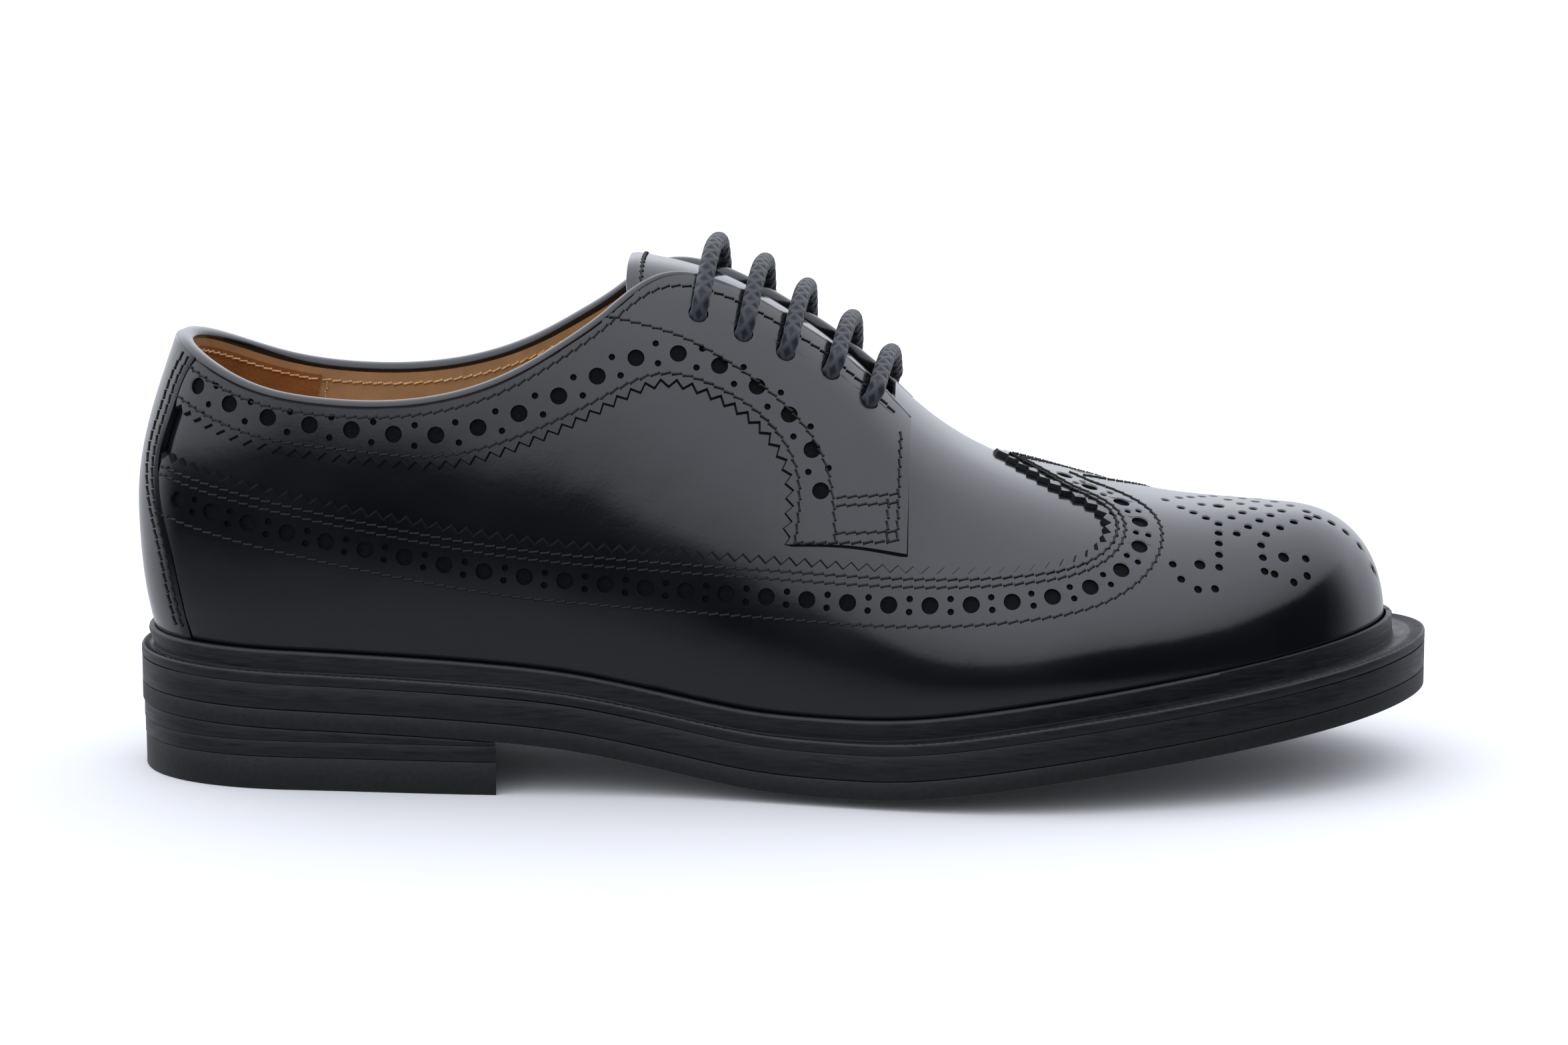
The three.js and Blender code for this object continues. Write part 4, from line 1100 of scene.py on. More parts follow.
class BROGUE_OT_welt(bpy.types.Operator):
    """Storm welt: a wheeled flat with its rib standing against the upper"""

    bl_idname = "brogue.welt"
    bl_label = "Storm welt"

    def execute(self, context):
        last = shoe()
        rest = last.lift + 0.35
        parts = []
        for side in (-1, 1):
            u = np.linspace(0, 1, 1500)
            x = last.front_x * -np.cos(np.pi * u)
            run = lengths(np.column_stack([x, last.sole_y(x, side)]))
            count = int(round(run[-1] / 0.42))
            even = np.interp(np.linspace(0, run[-1], count + 1), run, u)
            at = np.linspace(0, run[-1], count + 1)
            parts.append(self.half(last, side, even, at, rest))
        points, faces = joined(parts)
        piece("storm_welt", points, faces, "edge", ["welt"], "welt_leather", sharp=50)
        return {"FINISHED"}

    def half(self, last, side, u, run, rest):
        """One side: profile rows from the rim over the wheeled flat and the rib, and back underneath."""
        x = last.front_x * -np.cos(np.pi * u)
        top = last.welt_top(x)
        rim = np.column_stack([x, last.sole_y(x, side), top])
        rim[[0, -1], 1] = last.centre_y(x[[0, -1]])
        foot_ug = np.column_stack([u, np.full(len(u), float(side))])
        station = last.station_x(u)
        rib_ug = last.at_height(station, last.feather_z(station) + last.rib, side)
        rib_ug[:, 0] = u

        def on_flat(offset):
            spot = last.skin(foot_ug, np.full(len(u), offset))
            spot[:, 2] = last.welt_top(spot[:, 0])
            return spot

        def on_rib(offset, lower):
            spot = last.skin(rib_ug, np.full(len(u), offset))
            spot[:, 2] -= lower
            spot[-1, 2] = last.welt_top(np.array([spot[-1, 0]]))[0] + last.rib - lower
            return spot

        base = on_flat(rest + 1.6)
        inward = base - rim
        wide = np.maximum(np.linalg.norm(inward, axis=1, keepdims=True), 1e-6)
        step = inward / wide
        groove = (0.5 - 0.5 * np.cos(2 * np.pi * run / 2.1))[:, None] ** 0.7 * np.array([0, 0, -0.42])
        up = np.array([0, 0, 1.0])
        rows = [
            rim - up * 0.5, rim + step * 0.15 - up * 0.15, rim + step * 0.5, rim + step * 0.8 + groove,
            rim + step * 2.0 + groove, rim + inward * np.clip(3.2 / wide, 0, 0.6) + groove * 0.9,
            rim + inward * np.clip(3.7 / wide, 0, 0.75) - up * 0.1,
            base - step * 0.15 - up * 0.1, base + up * 0.25, on_rib(rest + 1.5, 0.8), on_rib(rest + 1.35, 0.2),
            on_rib(rest + 0.9, 0.0), on_rib(rest + 0.2, 0.2), on_rib(rest + 0.05, 0.8), on_flat(rest), on_flat(-8.0),
            on_flat(-8.0) - up * last.welt, rim - up * (last.welt - 0.35) + step * 0.35 - up * 0.35,
            rim - up * (last.welt - 0.35),
        ]
        points = np.stack(rows, 1)
        faces = grid(points.shape[0], points.shape[1], wrap_columns=True)
        return points.reshape(-1, 3), faces.tolist()


UPPER_FRONT = 0.587     # where the quarters give way to the vamp, under the facings' tabs
LINING_FRONT = 0.622    # where the vamp's lining starts, out of sight under the throat
GRIP_FRONT = 0.1285     # front edge of the heel grip


def quarter_sheet(last, outer, inner, drop, low=0.0, front=UPPER_FRONT, columns=150, rows=30):
    """Both quarters as one sheet round the heel: u runs out from the back seam on each side."""
    reach = last.station_u(last.back_x + last.length * front)
    w = np.linspace(-1, 1, 2 * columns + 1)
    u = np.abs(w) ** 0.9 * reach
    side = np.where(w < 0, -1.0, 1.0)
    high = last.topline(u, side, drop)[:, 1]
    v = np.linspace(low, 1, rows + 1)
    g = side[:, None] * (1 - v[None] * (1 - np.abs(high))[:, None])
    ug = np.stack([np.repeat(u[:, None], rows + 1, 1), g], -1)
    return sheet(last.skin(ug, np.full(g.shape, outer)), last.skin(ug, np.full(g.shape, inner)))


def vamp_sheet(last, outer, inner, front=UPPER_FRONT, columns=110, rows=72):
    """The vamp as one sheet over the ridge, from the tabs to the toe."""
    start = last.station_u(last.back_x + last.length * front)
    u = np.linspace(start, 1, columns + 1)
    g = np.linspace(-1, 1, rows + 1)
    ug = np.stack(np.meshgrid(u, g, indexing="ij"), -1)
    return sheet(last.skin(ug, np.full(ug.shape[:2], outer)), last.skin(ug, np.full(ug.shape[:2], inner)))


class BROGUE_OT_lining(bpy.types.Operator):
    """Lining, heel grip and insole sock"""

    bl_idname = "brogue.lining"
    bl_label = "Lining and sock"

    def execute(self, context):
        last = shoe()
        wall = last.wall
        parts = [quarter_sheet(last, -1.2, -wall, 0.9), vamp_sheet(last, -1.2, -wall, LINING_FRONT)]
        points, faces = joined(parts)
        piece("quarter_lining", points, faces, "lining", ["upper"], "lining_leather")
        points, faces = quarter_sheet(last, -wall - 0.05, -wall - 0.7, 3.4, front=GRIP_FRONT, columns=40)
        piece("heel_grip", points, faces, "suede", ["upper"], "lining_leather")
        u = np.linspace(0, 1, 91)
        clear = -wall - 0.9
        feet = [
            last.skin(np.column_stack([u, np.full(len(u), side)]), np.full(len(u), clear))
            for side in (-1.0, 1.0)
        ]
        v = np.concatenate([[0, 0.01, 0.03], np.linspace(0.08, 0.92, 15), [0.97, 0.99, 1]])[None, :, None]
        plan = feet[0][:, None] * (1 - v) + feet[1][:, None] * v
        edge = 4 * v[..., 0] * (1 - v[..., 0])
        top, low = plan.copy(), plan.copy()
        top[..., 2] = last.feather_z(plan[..., 0]) + 2.2 + 0.8 * np.minimum(edge * 6, 1) ** 0.5
        low[..., 2] = last.feather_z(plan[..., 0])
        points, faces = sheet(top, low)
        piece("insole_sock", points, faces, "lining", ["insole"], "lining_leather")
        return {"FINISHED"}


class BROGUE_OT_upper(bpy.types.Operator):
    """Vamp and quarters: the leather under the overlays"""

    bl_idname = "brogue.upper"
    bl_label = "Vamp and quarters"

    def execute(self, context):
        last = shoe()
        points, faces = quarter_sheet(last, 0.0, -1.15, 0.9)
        piece("quarters", points, faces, "calf", ["upper"], "upper_leather")
        points, faces = vamp_sheet(last, 0.0, -1.15)
        piece("vamp", points, faces, "calf", ["upper"], "upper_leather")
        return {"FINISHED"}


WING_ROWS = (2.1, 3.9)      # stitch rows below the wing's saw-toothed edge
WING_HOLES = 7.9            # row of holes below that edge
WING_LOW_ROW = 12.6         # lower stitch row of the wing's border
BAND_ROW = 1.9              # stitch row beside the band's saw-toothed edge
BAND_HOLES = 6.7
COLLAR_ROW = 3.7            # stitch row below the collar's bead
COLLAR_ROW_FRONT = 0.584    # place where that row ends
STAY_UNDERLAP = 0.012       # how far the wing and bands run in under the back stay, in u
TOE_END = 0.993             # the wing stops here, behind the rib
PANEL_BACK = 0.06           # back of the punched leather over the form
GROUND_LOW = 0.02
GROUND_HIGH = 0.6           # the holes are seen down to here


def hole_rows(last, edge, distance, pitch, large, small, spread, side, start, end):
    """Large holes along a shifted edge and a pair of small ones midway between them."""
    row = one_side(last, shifted(last, edge, distance), side)
    run = lengths(last.point(row))
    count = int((run[-1] - start - end) / pitch)
    at = start + np.arange(2 * count + 1) * pitch / 2
    spots = np.stack([np.interp(at, run, row[:, k]) for k in (0, 1)], -1)
    holes = [(spot, large / 2) for spot in spots[::2]]
    middle = spots[1::2]
    points = last.point(spots)
    forward = unit(np.gradient(points, axis=0))[1::2]
    aside = unit(np.cross(last.normal(middle), forward))
    for sign in (-0.5, 0.5):
        step = aside * sign * spread
        holes += [(spot, small / 2) for spot in last.moved(middle, step)]
    return holes


MEDALLION_SIDE = 7.0        # the medallion's middle line lies this far out from the ridge
# Straight rows of the medallion: mm back from the toe, mm out from its middle line, and how many holes
MEDALLION_ROWS = (
    ((38.6, 10.8), (47.0, 4.2), 4), ((30.0, 0.0), (35.4, 7.0), 3), ((23.4, 0.0), (34.6, 14.0), 5),
    ((17.6, 2.0), (27.8, 12.4), 4), ((38.8, 14.8), (39.2, 26.0), 4), ((29.2, 16.6), (28.8, 24.0), 3),
    ((3.0, 0.0), (15.4, 0.0), 5), ((42.0, 0.0), (50.5, 0.0), 2),
)
# Curls: centre, radius, first and last angle from the rearward direction, and how many holes
MEDALLION_CURLS = (((44.0, 27.4), 5.9, 128, 6, 4), ((24.0, 19.2), 5.4, 62, 205, 4))
# Larger holes: the middles of the curls and of the lattice
MEDALLION_LARGE = ((43.6, 26.4), (24.2, 18.6), (38.0, 0.0))


def toe_holes(last, radius):
    """The toe's medallion: a lattice of lozenges between two curled horns a side."""
    small = []
    for first, second, count in MEDALLION_ROWS:
        small += [np.array(first) + (np.array(second) - first) * k for k in np.linspace(0, 1, count)]
    for centre, reach, start, stop, count in MEDALLION_CURLS:
        for angle in np.radians(np.linspace(start, stop, count)):
            small.append(np.array(centre) + reach * np.array([math.cos(angle), math.sin(angle)]))
    holes = []
    for spots, size_of in ((small, radius), (MEDALLION_LARGE, radius * 1.4)):
        for back, out in spots:
            for way in (1, -1) if out > 0.1 else (1,):
                holes.append((toe_spot(last, back, MEDALLION_SIDE + way * out), size_of))
    return holes


def toe_spot(last, back, out):
    """(u, g) of a place measured back from the toe, and outwards from the ridge along the surface."""
    u = last.station_u(last.feather_front - back)
    side = -1.0 if out > 0 else 1.0
    g = side * np.linspace(1e-3, 0.98, 200)
    run = lengths(last.point(np.column_stack([np.full(200, u), g])))
    return np.array([u, np.interp(abs(out), run, g)])


class BROGUE_OT_overlays(bpy.types.Operator):
    """Long wing, facings with their collar bands, and the back stay, with saw-toothed edges and punched holes"""

    bl_idname = "brogue.overlays"
    bl_label = "Brogued overlays"

    def execute(self, context):
        last = shoe()
        sides = context.scene.brogue_sizes.hole_sides
        self.wing(last, sides)
        for name, side in (("facing_outer", -1.0), ("facing_inner", 1.0)):
            self.facing(last, sides, name, side)
        self.stay(last)
        return {"FINISHED"}

    def wing(self, last, sides):
        """The wing's border runs along its toothed edge over the ridge and back along both feet."""
        pitch, depth = brogue("tooth"), brogue("tooth_depth")
        start_u = stay_edge(last, -1.0)[:, 0].min() - STAY_UNDERLAP
        halves, holes = [], []
        for side in (-1.0, 1.0):
            edge = wing_edge(last, side)
            edge = np.concatenate([[[start_u, edge[0, 1]]], edge[edge[:, 0] > start_u + 1e-3]])
            halves.append(saw_toothed(last, edge, pitch, depth))
            holes += hole_rows(
                last, wing_edge(last, side), side * WING_HOLES, brogue("wing_pitch"), brogue("large"),
                brogue("small"),
                2.9, side, 7.0, 2.5,
            )
        foot_u = np.linspace(start_u, TOE_END, 180)
        foot = last.at_height(last.station_x(foot_u), last.feather_z(last.station_x(foot_u)) + TOP_STEP, -1.0)
        foot[:, 0] = foot_u
        outer = halves[0]
        inner = halves[1][::-1]
        inner_foot = foot * [1, -1]
        toe = np.column_stack([np.full(24, TOE_END), np.linspace(inner_foot[-1, 1], foot[-1, 1], 26)[1:-1]])
        border = np.concatenate([outer, inner[1:], inner_foot, toe, foot[::-1]])
        holes += toe_holes(last, brogue("medallion") / 2)
        points, faces, look = punched_panel(last, border, holes, last.lift, PANEL_BACK, sides)
        piece("long_wing_leather", points, faces, "calf cut", ["long_wing"], "upper_leather", **look)
        # Dark matt discs under the wing's holes: raw underlay and painted shade of the holes
        points, faces = underlay_shade_discs(last, holes, GROUND_LOW, GROUND_HIGH)
        piece("wing_hole_grounds", points, faces, "raw", ["long_wing"], "upper_leather")

    def facing(self, last, sides, name, side):
        """A facing's border: toothed lower edge, tab, front edge, and the topline back to the stay."""
        start_u = stay_edge(last, side)[:, 0].min() - STAY_UNDERLAP
        edge = band_edge(last, side)
        edge = np.concatenate([[[start_u, edge[0, 1]]], edge[edge[:, 0] > start_u + 1e-3]])
        toothed = saw_toothed(last, edge, brogue("tooth"), brogue("tooth_depth"))
        front_x = last.back_x + last.length * FACING_FRONT
        top_u = np.linspace(last.station_u(front_x), start_u, 160)
        top = last.topline(top_u, side, TOP_STEP)
        foot = last.at_height(np.array([front_x]), np.array([last.back * TAB_FOOT]), side)
        k = np.linspace(0, 1, 24)[:, None]
        front = foot * (1 - k) + top[:1] * k
        sole_line = toothed[-1:] * (1 - k) + foot * k
        border = np.concatenate([toothed, sole_line[1:-1], front[:-1], top])
        holes = hole_rows(
            last, band_edge(last, side), -side * BAND_HOLES, brogue("band_pitch"), brogue("large"),
            brogue("small"),
            4.6, side, 5.0, 4.0,
        )
        eyelets = [(spot, brogue("eyelet") / 2) for spot in eyelet_spots(last, side)]
        points, faces, look = punched_panel(last, border, holes + eyelets, last.lift, PANEL_BACK, sides)
        piece(f"{name}_leather", points, faces, "calf cut", [name], "upper_leather", **look)
        # Dark matt discs under the facing's holes: raw underlay and painted shade of the holes
        points, faces = underlay_shade_discs(last, holes, GROUND_LOW, GROUND_HIGH)
        piece(f"{name}_hole_grounds", points, faces, "raw", [name], "upper_leather")

    def stay(self, last):
        """The back stay lies over the wing's and the bands' back ends, round the back seam."""
        outer_edge = stay_edge(last, -1.0)
        w = np.linspace(-1, 1, 41)
        u = np.abs(w)[None] * outer_edge[:, :1]
        side = np.where(w < 0, -1.0, 1.0)[None]
        v = np.linspace(0, 1, len(outer_edge))[:, None]
        x = last.station_x(u)
        low = np.abs(last.at_height(x, last.feather_z(x) + TOP_STEP, side)[..., 1])
        high = np.abs(last.topline(u, side + 0 * u, TOP_STEP)[..., 1])
        ug = np.stack([u, side * (low + (high - low) * v)], -1)
        edge = np.minimum((1 - np.abs(w)) * 40, 1)[None] ** 0.5
        points, faces = sheet(last.skin(ug, last.lift + 0.45 - 0.3 * (1 - edge) + 0 * u), last.skin(ug, 0.2 + 0 * u))
        piece("back_stay_leather", points, faces, "calf", ["back_stay"], "upper_leather")


def eyelet_spots(last, side):
    """(u, g) of one side's eyelets: the inner ones lie ahead of the outer ones and below them."""
    inner = side > 0
    ahead = inner * brogue("lace_lead") / last.length
    below = inner * brogue("lace_drop") / last.back
    return [last.placed(place + ahead, height - below, side) for place, height in EYELETS]


class BROGUE_OT_binding(bpy.types.Operator):
    """Rolled binding along the topline and the facings' edges"""

    bl_idname = "brogue.binding"
    bl_label = "Topline binding"

    def execute(self, context):
        last = shoe()
        path_ug = topline_path(last, 1.25)
        centre = (last.lift - last.wall) / 2 - 0.1
        path = last.skin(path_ug, np.full(len(path_ug), centre))
        across = last.normal(path_ug)
        up = unit(np.cross(unit(np.gradient(path, axis=0)), across))
        up *= np.sign(up[:, 2:3] + 1e-9)
        points, faces = tube(path, up, ellipse(1.95, 1.45, 14))
        piece("topline_binding", points, faces, "calf", [], "upper_leather", sharp=60)
        return {"FINISHED"}


def topline_path(last, drop, front=FACING_FRONT, sides=(-1.0, 1.0), count=210):
    """The topline less a drop, from one facing's front round the heel to the other's, or one side of it."""
    reach = last.station_u(last.back_x + last.length * front)
    halves = []
    for side in sides:
        u = np.linspace(0, 1, 600) ** 1.1 * reach
        run = lengths(last.point(last.topline(u, side, drop)))
        u = np.interp(np.linspace(0, run[-1], count), run, u)
        halves.append(last.topline(u, side, drop))
    return np.concatenate([halves[0][::-1], halves[1][1:]]) if len(halves) > 1 else halves[0]


TONGUE_TOP = 0.385
TONGUE_FOOT = 0.650
TONGUE_HALF = 27.0
TONGUE_THICK = 1.8
TONGUE_ROUND = 9.0          # radius of the tongue's top corners
TONGUE_SEAM = 3.2           # stitch row in from its rim


class BROGUE_OT_tongue(bpy.types.Operator):
    """Tongue under the facings, with a stitched edge"""

    bl_idname = "brogue.tongue"
    bl_label = "Tongue"

    def execute(self, context):
        last = shoe()
        length = last.length * (TONGUE_FOOT - TONGUE_TOP)
        t = np.linspace(0, 1, 71)[:, None] ** 1.2
        v = np.linspace(-1, 1, 45)[None]
        edge = np.clip(np.minimum((1 - np.abs(v)) * 9, t * length / 2.5), 0, 1)
        offset = -last.wall - 1.5 * last.gap
        ug = tongue_spots(last, t, v)
        outer = last.skin(ug, offset - 0.6 * (1 - edge) ** 2)
        inner = last.skin(ug, offset - TONGUE_THICK + 0.6 * (1 - edge) ** 2)
        points, faces = sheet(outer, inner)
        piece("tongue_leather", points, faces, "calf", ["tongue"], "upper_leather")
        start, side = TONGUE_SEAM / length, 1 - TONGUE_SEAM / TONGUE_HALF
        down = np.linspace(start, 0.5, 40)
        across = np.linspace(-side, side, 30)
        path = np.concatenate([
            tongue_spots(last, down[::-1], np.full(40, -side)), tongue_spots(last, np.full(30, start), across)[1:-1],
            tongue_spots(last, down, np.full(40, side)),
        ])
        row = stitch_row(last, path, offset + 0.02, brogue("stitch"), brogue("thread"))
        piece("tongue_stitches", *row, "thread", ["tongue"], "upper_leather", sharp=80)
        return {"FINISHED"}


def tongue_spots(last, t, v):
    """(u, g) of the tongue at t from its top to its foot and v across it: its top corners are rounded."""
    x = last.back_x + last.length * (TONGUE_TOP + (TONGUE_FOOT - TONGUE_TOP) * t)
    down = t * last.length * (TONGUE_FOOT - TONGUE_TOP)
    half = TONGUE_HALF - TONGUE_ROUND * (1 - round_end(down / TONGUE_ROUND, 2))
    u = last.station_u(x)
    side = np.where(v < 0, -1.0, 1.0)
    probe = np.stack([u + 0 * v, side * 0.7 + 0 * u], -1)
    crest = np.stack([u + 0 * v, side * 1e-6 + 0 * u], -1)
    reach = np.abs(last.point(probe)[..., 1] - last.point(crest)[..., 1])
    share = np.minimum(half / reach, 0.95)
    h = np.arccos(share ** (FULLNESS("power", last.share(x)) / 2)) * 2 / np.pi
    return np.stack([u + 0 * v, v * (1 - h)], -1)


class BROGUE_OT_stitching(bpy.types.Operator):
    """Rows of stitches of the upper and the lining"""

    bl_idname = "brogue.stitching"
    bl_label = "Stitching"

    def execute(self, context):
        last = shoe()
        pitch, thread = brogue("stitch"), brogue("thread")
        face = last.lift + 0.02
        wing, quarter = [], []
        for side in (-1.0, 1.0):
            edge = wing_edge(last, side)
            for distance in (*WING_ROWS, WING_LOW_ROW):
                row = one_side(last, shifted(last, edge, side * distance), side)
                wing.append(stitch_row(last, row, face, pitch, thread))
            quarter += self.quarter_rows(last, side, face, pitch, thread)
        piece("wing_stitches", *joined(wing), "thread", ["long_wing"], "upper_leather", sharp=80)
        quarter += [
            stitch_row(last, topline_path(last, COLLAR_ROW, COLLAR_ROW_FRONT, [side]), face, pitch, thread)
            for side in (-1.0, 1.0)
        ]
        piece("quarter_stitches", *joined(quarter), "thread", ["facing_outer"], "upper_leather", sharp=80)
        inside = -last.wall - 0.02
        lining = []
        for side in (-1.0, 1.0):
            edge = topline_path(last, 4.6, 0.56, sides=[side])
            behind = last.share(last.station_x(edge[:, 0])) < GRIP_FRONT
            for part, depth in ((edge[behind], inside - 0.68), (edge[~behind], inside)):
                lining.append(stitch_row(last, part, depth, 2.4, thread, inward=True))
            x = last.back_x + last.length * (GRIP_FRONT + 0.006)
            heights = np.linspace(last.feather_z(x) + 12, last.back * TOPLINE("height", GRIP_FRONT) - 5, 40)
            seam = last.at_height(np.full(40, x), heights, side)
            lining.append(stitch_row(last, seam, inside, 2.4, thread, inward=True))
        piece("lining_stitches", *joined(lining), "lining_thread", ["upper"], "lining_leather", sharp=80)
        return {"FINISHED"}

    def quarter_rows(self, last, side, face, pitch, thread):
        """Stitch rows of one facing: beside the teeth, round the eyelets, the tab's box and the stay."""
        rows = [one_side(last, shifted(last, band_edge(last, side), -side * BAND_ROW), side)]
        rows.append(last.placed(FACING_LINE("place", FACING_T), FACING_LINE("height", FACING_T), side))
        front = FACING_FRONT - 0.0075
        heights = np.linspace(TAB_FOOT + 0.025, 0.79, 30)
        rows.append(last.placed(np.full(30, front), heights, side))
        rows.append(last.placed(np.full(14, front - 0.0075), np.linspace(TAB_FOOT + 0.025, 0.665, 14), side))
        for height, start in ((0.578, 0.512), (0.598, 0.5435), (0.655, 0.5435), (0.672, 0.5435)):
            span = np.linspace(start, front, 20)
            rows.append(last.placed(span, np.full(20, height), side))
        found = [stitch_row(last, row, face, pitch, thread) for row in rows]
        for inset in (-1.2, -2.8):
            edge = stay_edge(last, side, inset)[1:-1]
            found.append(stitch_row(last, edge, last.lift + 0.47, pitch, thread))
        return found


# Stitch line between the eyelets and the band, from the topline to the tab's foot
FACING_LINE = Sections("t place height", [
    [0.00, 0.371, 1.058], [0.15, 0.395, 1.040], [0.30, 0.424, 1.014], [0.45, 0.455, 0.968], [0.60, 0.487, 0.905],
    [0.75, 0.524, 0.800], [0.88, 0.540, 0.690], [1.00, 0.5435, 0.575],
])
FACING_T = np.linspace(0, 1, 80)


BRAID_PITCH = 3.4           # length of a strand's repeat along the lace
BRAID_STRANDS = 4           # strands each way round it
BRAID_DEPTH = 0.22
BRAID_WAVE = 2 * math.pi * math.sqrt(2) / 20    # a wave texture's scale that repeats once a unit of the piece's map


class BROGUE_OT_laces(bpy.types.Operator):
    """Five straight bars of waxed cotton lace, in through the eyelets at both ends"""

    bl_idname = "brogue.laces"
    bl_label = "Laces"

    def execute(self, context):
        last = shoe()
        spots = [eyelet_spots(last, side) for side in (-1.0, 1.0)]
        for k, ends in enumerate(zip(*spots)):
            points, faces, uv = self.bar(lace_path(last, ends, brogue("lace") / 2), brogue("lace") / 2)
            piece(f"lace_{k + 1}", points, faces, "lace", [f"lace_bar_{k + 1}"], "lace_cotton", sharp=70, uv=uv)
        return {"FINISHED"}

    def bar(self, path, radius, sides=28):
        """A braided cord: the radius falls between the strands, by the greater of two crossing waves."""
        tangent = unit(np.gradient(path, axis=0))
        across = unit(np.cross(np.tile([1.0, 0, 0], (len(path), 1)), tangent))
        up = np.cross(tangent, across)
        turn = np.linspace(0, 1, sides + 1)[None]
        along = lengths(path)[:, None] / BRAID_PITCH
        waves = [-np.cos(2 * np.pi * (along + way * BRAID_STRANDS * turn)) for way in (1, -1)]
        reach = radius - BRAID_DEPTH * (1 - np.maximum(*waves)) / 2
        angle = 2 * np.pi * turn[..., None]
        rings = path[:, None] + reach[..., None] * (across[:, None] * np.cos(angle) + up[:, None] * np.sin(angle))
        uv = np.stack([along + 0 * turn, BRAID_STRANDS * turn + 0 * along], -1)
        rows, columns = rings.shape[:2]
        faces = grid(rows, columns).tolist()
        faces += [list(range(sides)), list(range((rows - 1) * columns + sides - 1, (rows - 1) * columns - 1, -1))]
        return rings.reshape(-1, 3), faces, uv.reshape(-1, 2)


def lace_path(last, ends, radius):
    """Path of one bar: from under the outer eyelet, up, over both facings and down into the inner one."""
    over = last.lift + 0.45 + radius
    heights = [-4.5, -1.0, last.lift + 0.3, last.lift + radius + 0.3, over, over + 0.3, over + 0.4]
    shares = [1.012, 1.01, 1.0, 0.93, 0.8, 0.5, 0.2]
    middle_u = (ends[0][0] + ends[1][0]) / 2
    knots = []
    for (u, g), order in zip(ends, (1, -1)):
        line = np.array([[middle_u + (u - middle_u) * min(share, 1), g * share] for share in shares])
        knots.append(last.skin(line, np.array(heights))[::order])
    return smooth_path(np.concatenate(knots), 240)


def smooth_path(knots, count):
    """A Catmull-Rom curve through the knots, evenly spaced."""
    padded = np.concatenate([2 * knots[:1] - knots[1:2], knots, 2 * knots[-1:] - knots[-2:-1]])
    t = np.linspace(0, 1, 12, endpoint=False)[:, None, None]
    a, b, c, d = padded[:-3], padded[1:-2], padded[2:-1], padded[3:]
    curve = 0.5 * (2 * b + (c - a) * t + (2 * a - 5 * b + 4 * c - d) * t ** 2 + (3 * b - a - 3 * c + d) * t ** 3)
    curve = np.concatenate([curve.transpose(1, 0, 2).reshape(-1, 3), knots[-1:]])
    run = lengths(curve)
    at = np.linspace(0, run[-1], count)
    return np.stack([np.interp(at, run, curve[:, k]) for k in range(3)], -1)


VIEW_AZIMUTH = 2.0
VIEW_ELEVATION = 10.5
VIEW_DISTANCE = 1.1
VIEW_LENS = 108.3
VIEW_TARGET = (0.0002, 0.0, 0.0564)


# Radiance of the studio by the sine of the elevation: floor in front, light bank over it, walls behind
STUDIO_FLOOR = ((-1.00, 0.34), (-0.40, 0.34), (-0.28, 0.20), (-0.20, 0.02), (1.00, 0.02))
STUDIO_BANK = ((-1.00, 0.00), (0.07, 0.00), (0.15, 0.85), (0.36, 1.25), (0.66, 1.60), (1.00, 1.70))
STUDIO_WALLS = ((-1.00, 0.60), (-0.17, 0.70), (0.13, 1.10), (0.42, 1.60), (1.00, 1.70))
BANK_TILT = 0.46            # the bank's lower edge rises by this much sideways towards the toe
STUDIO_TINT = "#f2f5ff"


def radiance(tree, sine, levels):
    """Half the radiance that a table gives for the sine of an elevation."""
    spread = node(tree, "ShaderNodeMapRange", {"From Min": -1.0, "From Max": 1.0}, Value=sine)
    curve = node(tree, "ShaderNodeValToRGB", Fac=spread.outputs["Result"])
    stops = curve.color_ramp.elements
    while len(stops) < len(levels):
        stops.new(0.5)
    for stop, (height, level) in zip(stops, levels):
        stop.position = (height + 1) / 2
        stop.color = (level / 2, level / 2, level / 2, 1.0)
    return curve.outputs["Color"]


def studio_world():
    """Soft studio as a world: pale walls behind, a light bank overhead and in front, dim below it."""
    world = bpy.data.worlds.new("studio")
    world.use_nodes = True
    tree = world.node_tree
    way = node(tree, "ShaderNodeSeparateXYZ", Vector=node(tree, "ShaderNodeTexCoord").outputs["Generated"])
    toeward = node(tree, "ShaderNodeMath", {"operation": "MAXIMUM", 1: -0.1}, i0=way.outputs["X"])
    tilted = node(
        tree, "ShaderNodeMath", {"operation": "MULTIPLY_ADD", 1: -BANK_TILT}, i0=toeward.outputs["Value"],
        i2=way.outputs["Z"],
    )
    behind = node(
        tree, "ShaderNodeMapRange", {"interpolation_type": "SMOOTHSTEP", "From Min": -0.15, "From Max": 0.45},
        Value=way.outputs["Y"],
    )
    front = node(
        tree, "ShaderNodeMix", {"data_type": "RGBA", "blend_type": "ADD", 0: 1.0},
        i6=radiance(tree, way.outputs["Z"], STUDIO_FLOOR), i7=radiance(tree, tilted.outputs["Value"], STUDIO_BANK),
    )
    mixed = node(
        tree, "ShaderNodeMix", {"data_type": "RGBA"}, i0=behind.outputs["Result"], i6=front.outputs[2],
        i7=radiance(tree, way.outputs["Z"], STUDIO_WALLS),
    )
    tinted = node(
        tree, "ShaderNodeMix", {"data_type": "RGBA", "blend_type": "MULTIPLY", 0: 1.0, 7: linear(STUDIO_TINT)},
        i6=mixed.outputs[2],
    )
    ground = tree.nodes["Background"]
    ground.inputs["Strength"].default_value = 2.0
    tree.links.new(tinted.outputs[2], ground.inputs["Color"])
    return world


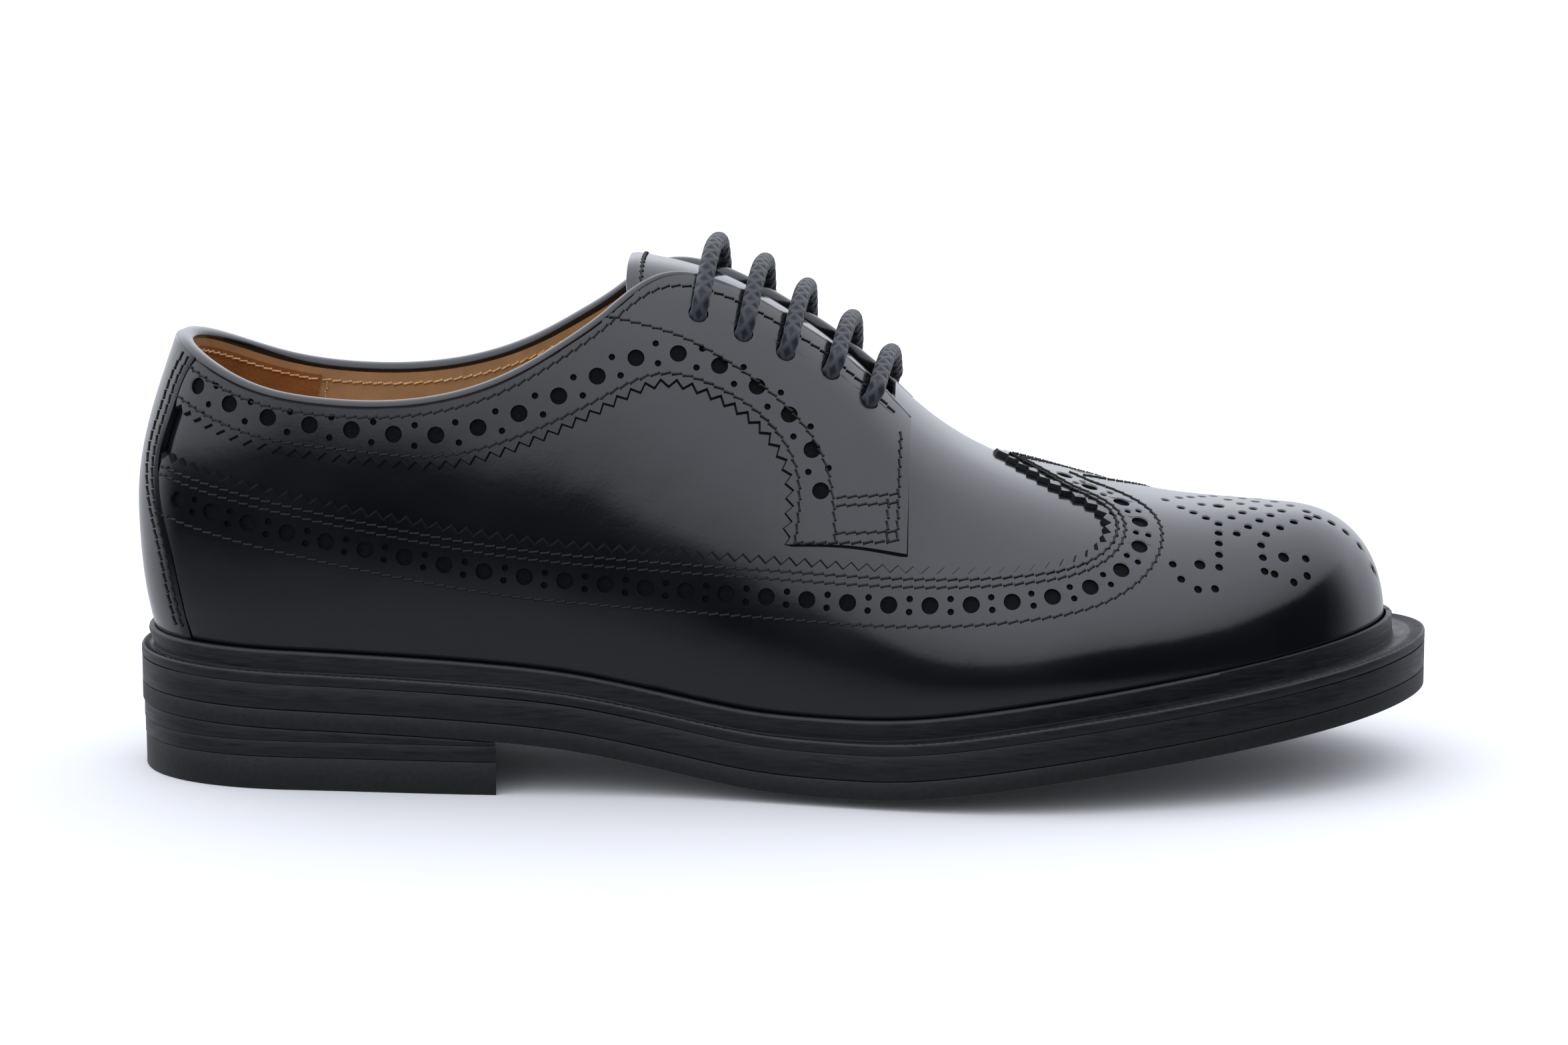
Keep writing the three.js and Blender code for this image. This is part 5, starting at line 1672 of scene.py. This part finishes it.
class BROGUE_OT_stage(bpy.types.Operator):
    """Pale floor, soft studio light and the camera at the photograph's view"""

    bl_idname = "brogue.stage"
    bl_label = "Stage"

    def execute(self, context):
        mesh = bpy.data.meshes.new("floor")
        reach = 6.0
        corners = [(-reach, -reach, 0), (reach, -reach, 0), (reach, reach, 0), (-reach, reach, 0)]
        mesh.from_pydata(corners, [], [(0, 1, 2, 3)])
        floor = bpy.data.objects.new("floor", mesh)
        floor.data.materials.append(finish("floor"))
        floor.visible_glossy = False
        context.scene.collection.objects.link(floor)
        context.scene.world = studio_world()
        context.scene.view_settings.view_transform = "Standard"
        camera = bpy.data.cameras.new("camera")
        camera.lens = VIEW_LENS
        camera.sensor_width = 36
        camera.clip_start = 0.01
        shot = bpy.data.objects.new("camera", camera)
        azimuth, elevation = math.radians(VIEW_AZIMUTH), math.radians(VIEW_ELEVATION)
        back = Vector((
            math.sin(azimuth) * math.cos(elevation), -math.cos(azimuth) * math.cos(elevation), math.sin(elevation)
        ))
        shot.location = Vector(VIEW_TARGET) + back * VIEW_DISTANCE
        shot.rotation_euler = (-back).to_track_quat("-Z", "Y").to_euler()
        context.scene.collection.objects.link(shot)
        context.scene.camera = shot
        return {"FINISHED"}


class BROGUE_PT_panel(bpy.types.Panel):
    """Lists the steps that dress the shoe"""

    bl_idname = "BROGUE_PT_panel"
    bl_label = "Brogue derby"
    bl_space_type = "VIEW_3D"
    bl_region_type = "UI"
    bl_category = "Brogue"

    def draw(self, context):
        for step in STEPS:
            self.layout.operator(step.bl_idname)
        for group in (context.scene.shoe_sizes, context.scene.brogue_sizes, context.scene.shoe_colours):
            for name in group.bl_rna.properties.keys():
                if name not in {"rna_type", "name"}:
                    self.layout.prop(group, name)


STEPS = (
    BROGUE_OT_sole,
    BROGUE_OT_welt,
    BROGUE_OT_lining,
    BROGUE_OT_upper,
    BROGUE_OT_overlays,
    BROGUE_OT_binding,
    BROGUE_OT_tongue,
    BROGUE_OT_stitching,
    BROGUE_OT_laces,
    BROGUE_OT_stage,
)
GROUPS = {"shoe_sizes": ShoeSizes, "brogue_sizes": BrogueSizes, "shoe_colours": ShoeColours}


def register():
    for cls in (*GROUPS.values(), *STEPS, BROGUE_PT_panel):
        bpy.utils.register_class(cls)
    for name, group in GROUPS.items():
        setattr(bpy.types.Scene, name, PointerProperty(type=group))


def unregister():
    for name in GROUPS:
        delattr(bpy.types.Scene, name)
    for cls in (BROGUE_PT_panel, *reversed(STEPS), *reversed(GROUPS.values())):
        bpy.utils.unregister_class(cls)


def main():
    """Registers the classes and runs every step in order."""
    register()
    for step in STEPS:
        group, name = step.bl_idname.split(".")
        getattr(getattr(bpy.ops, group), name)()


if __name__ == "__main__":
    main()
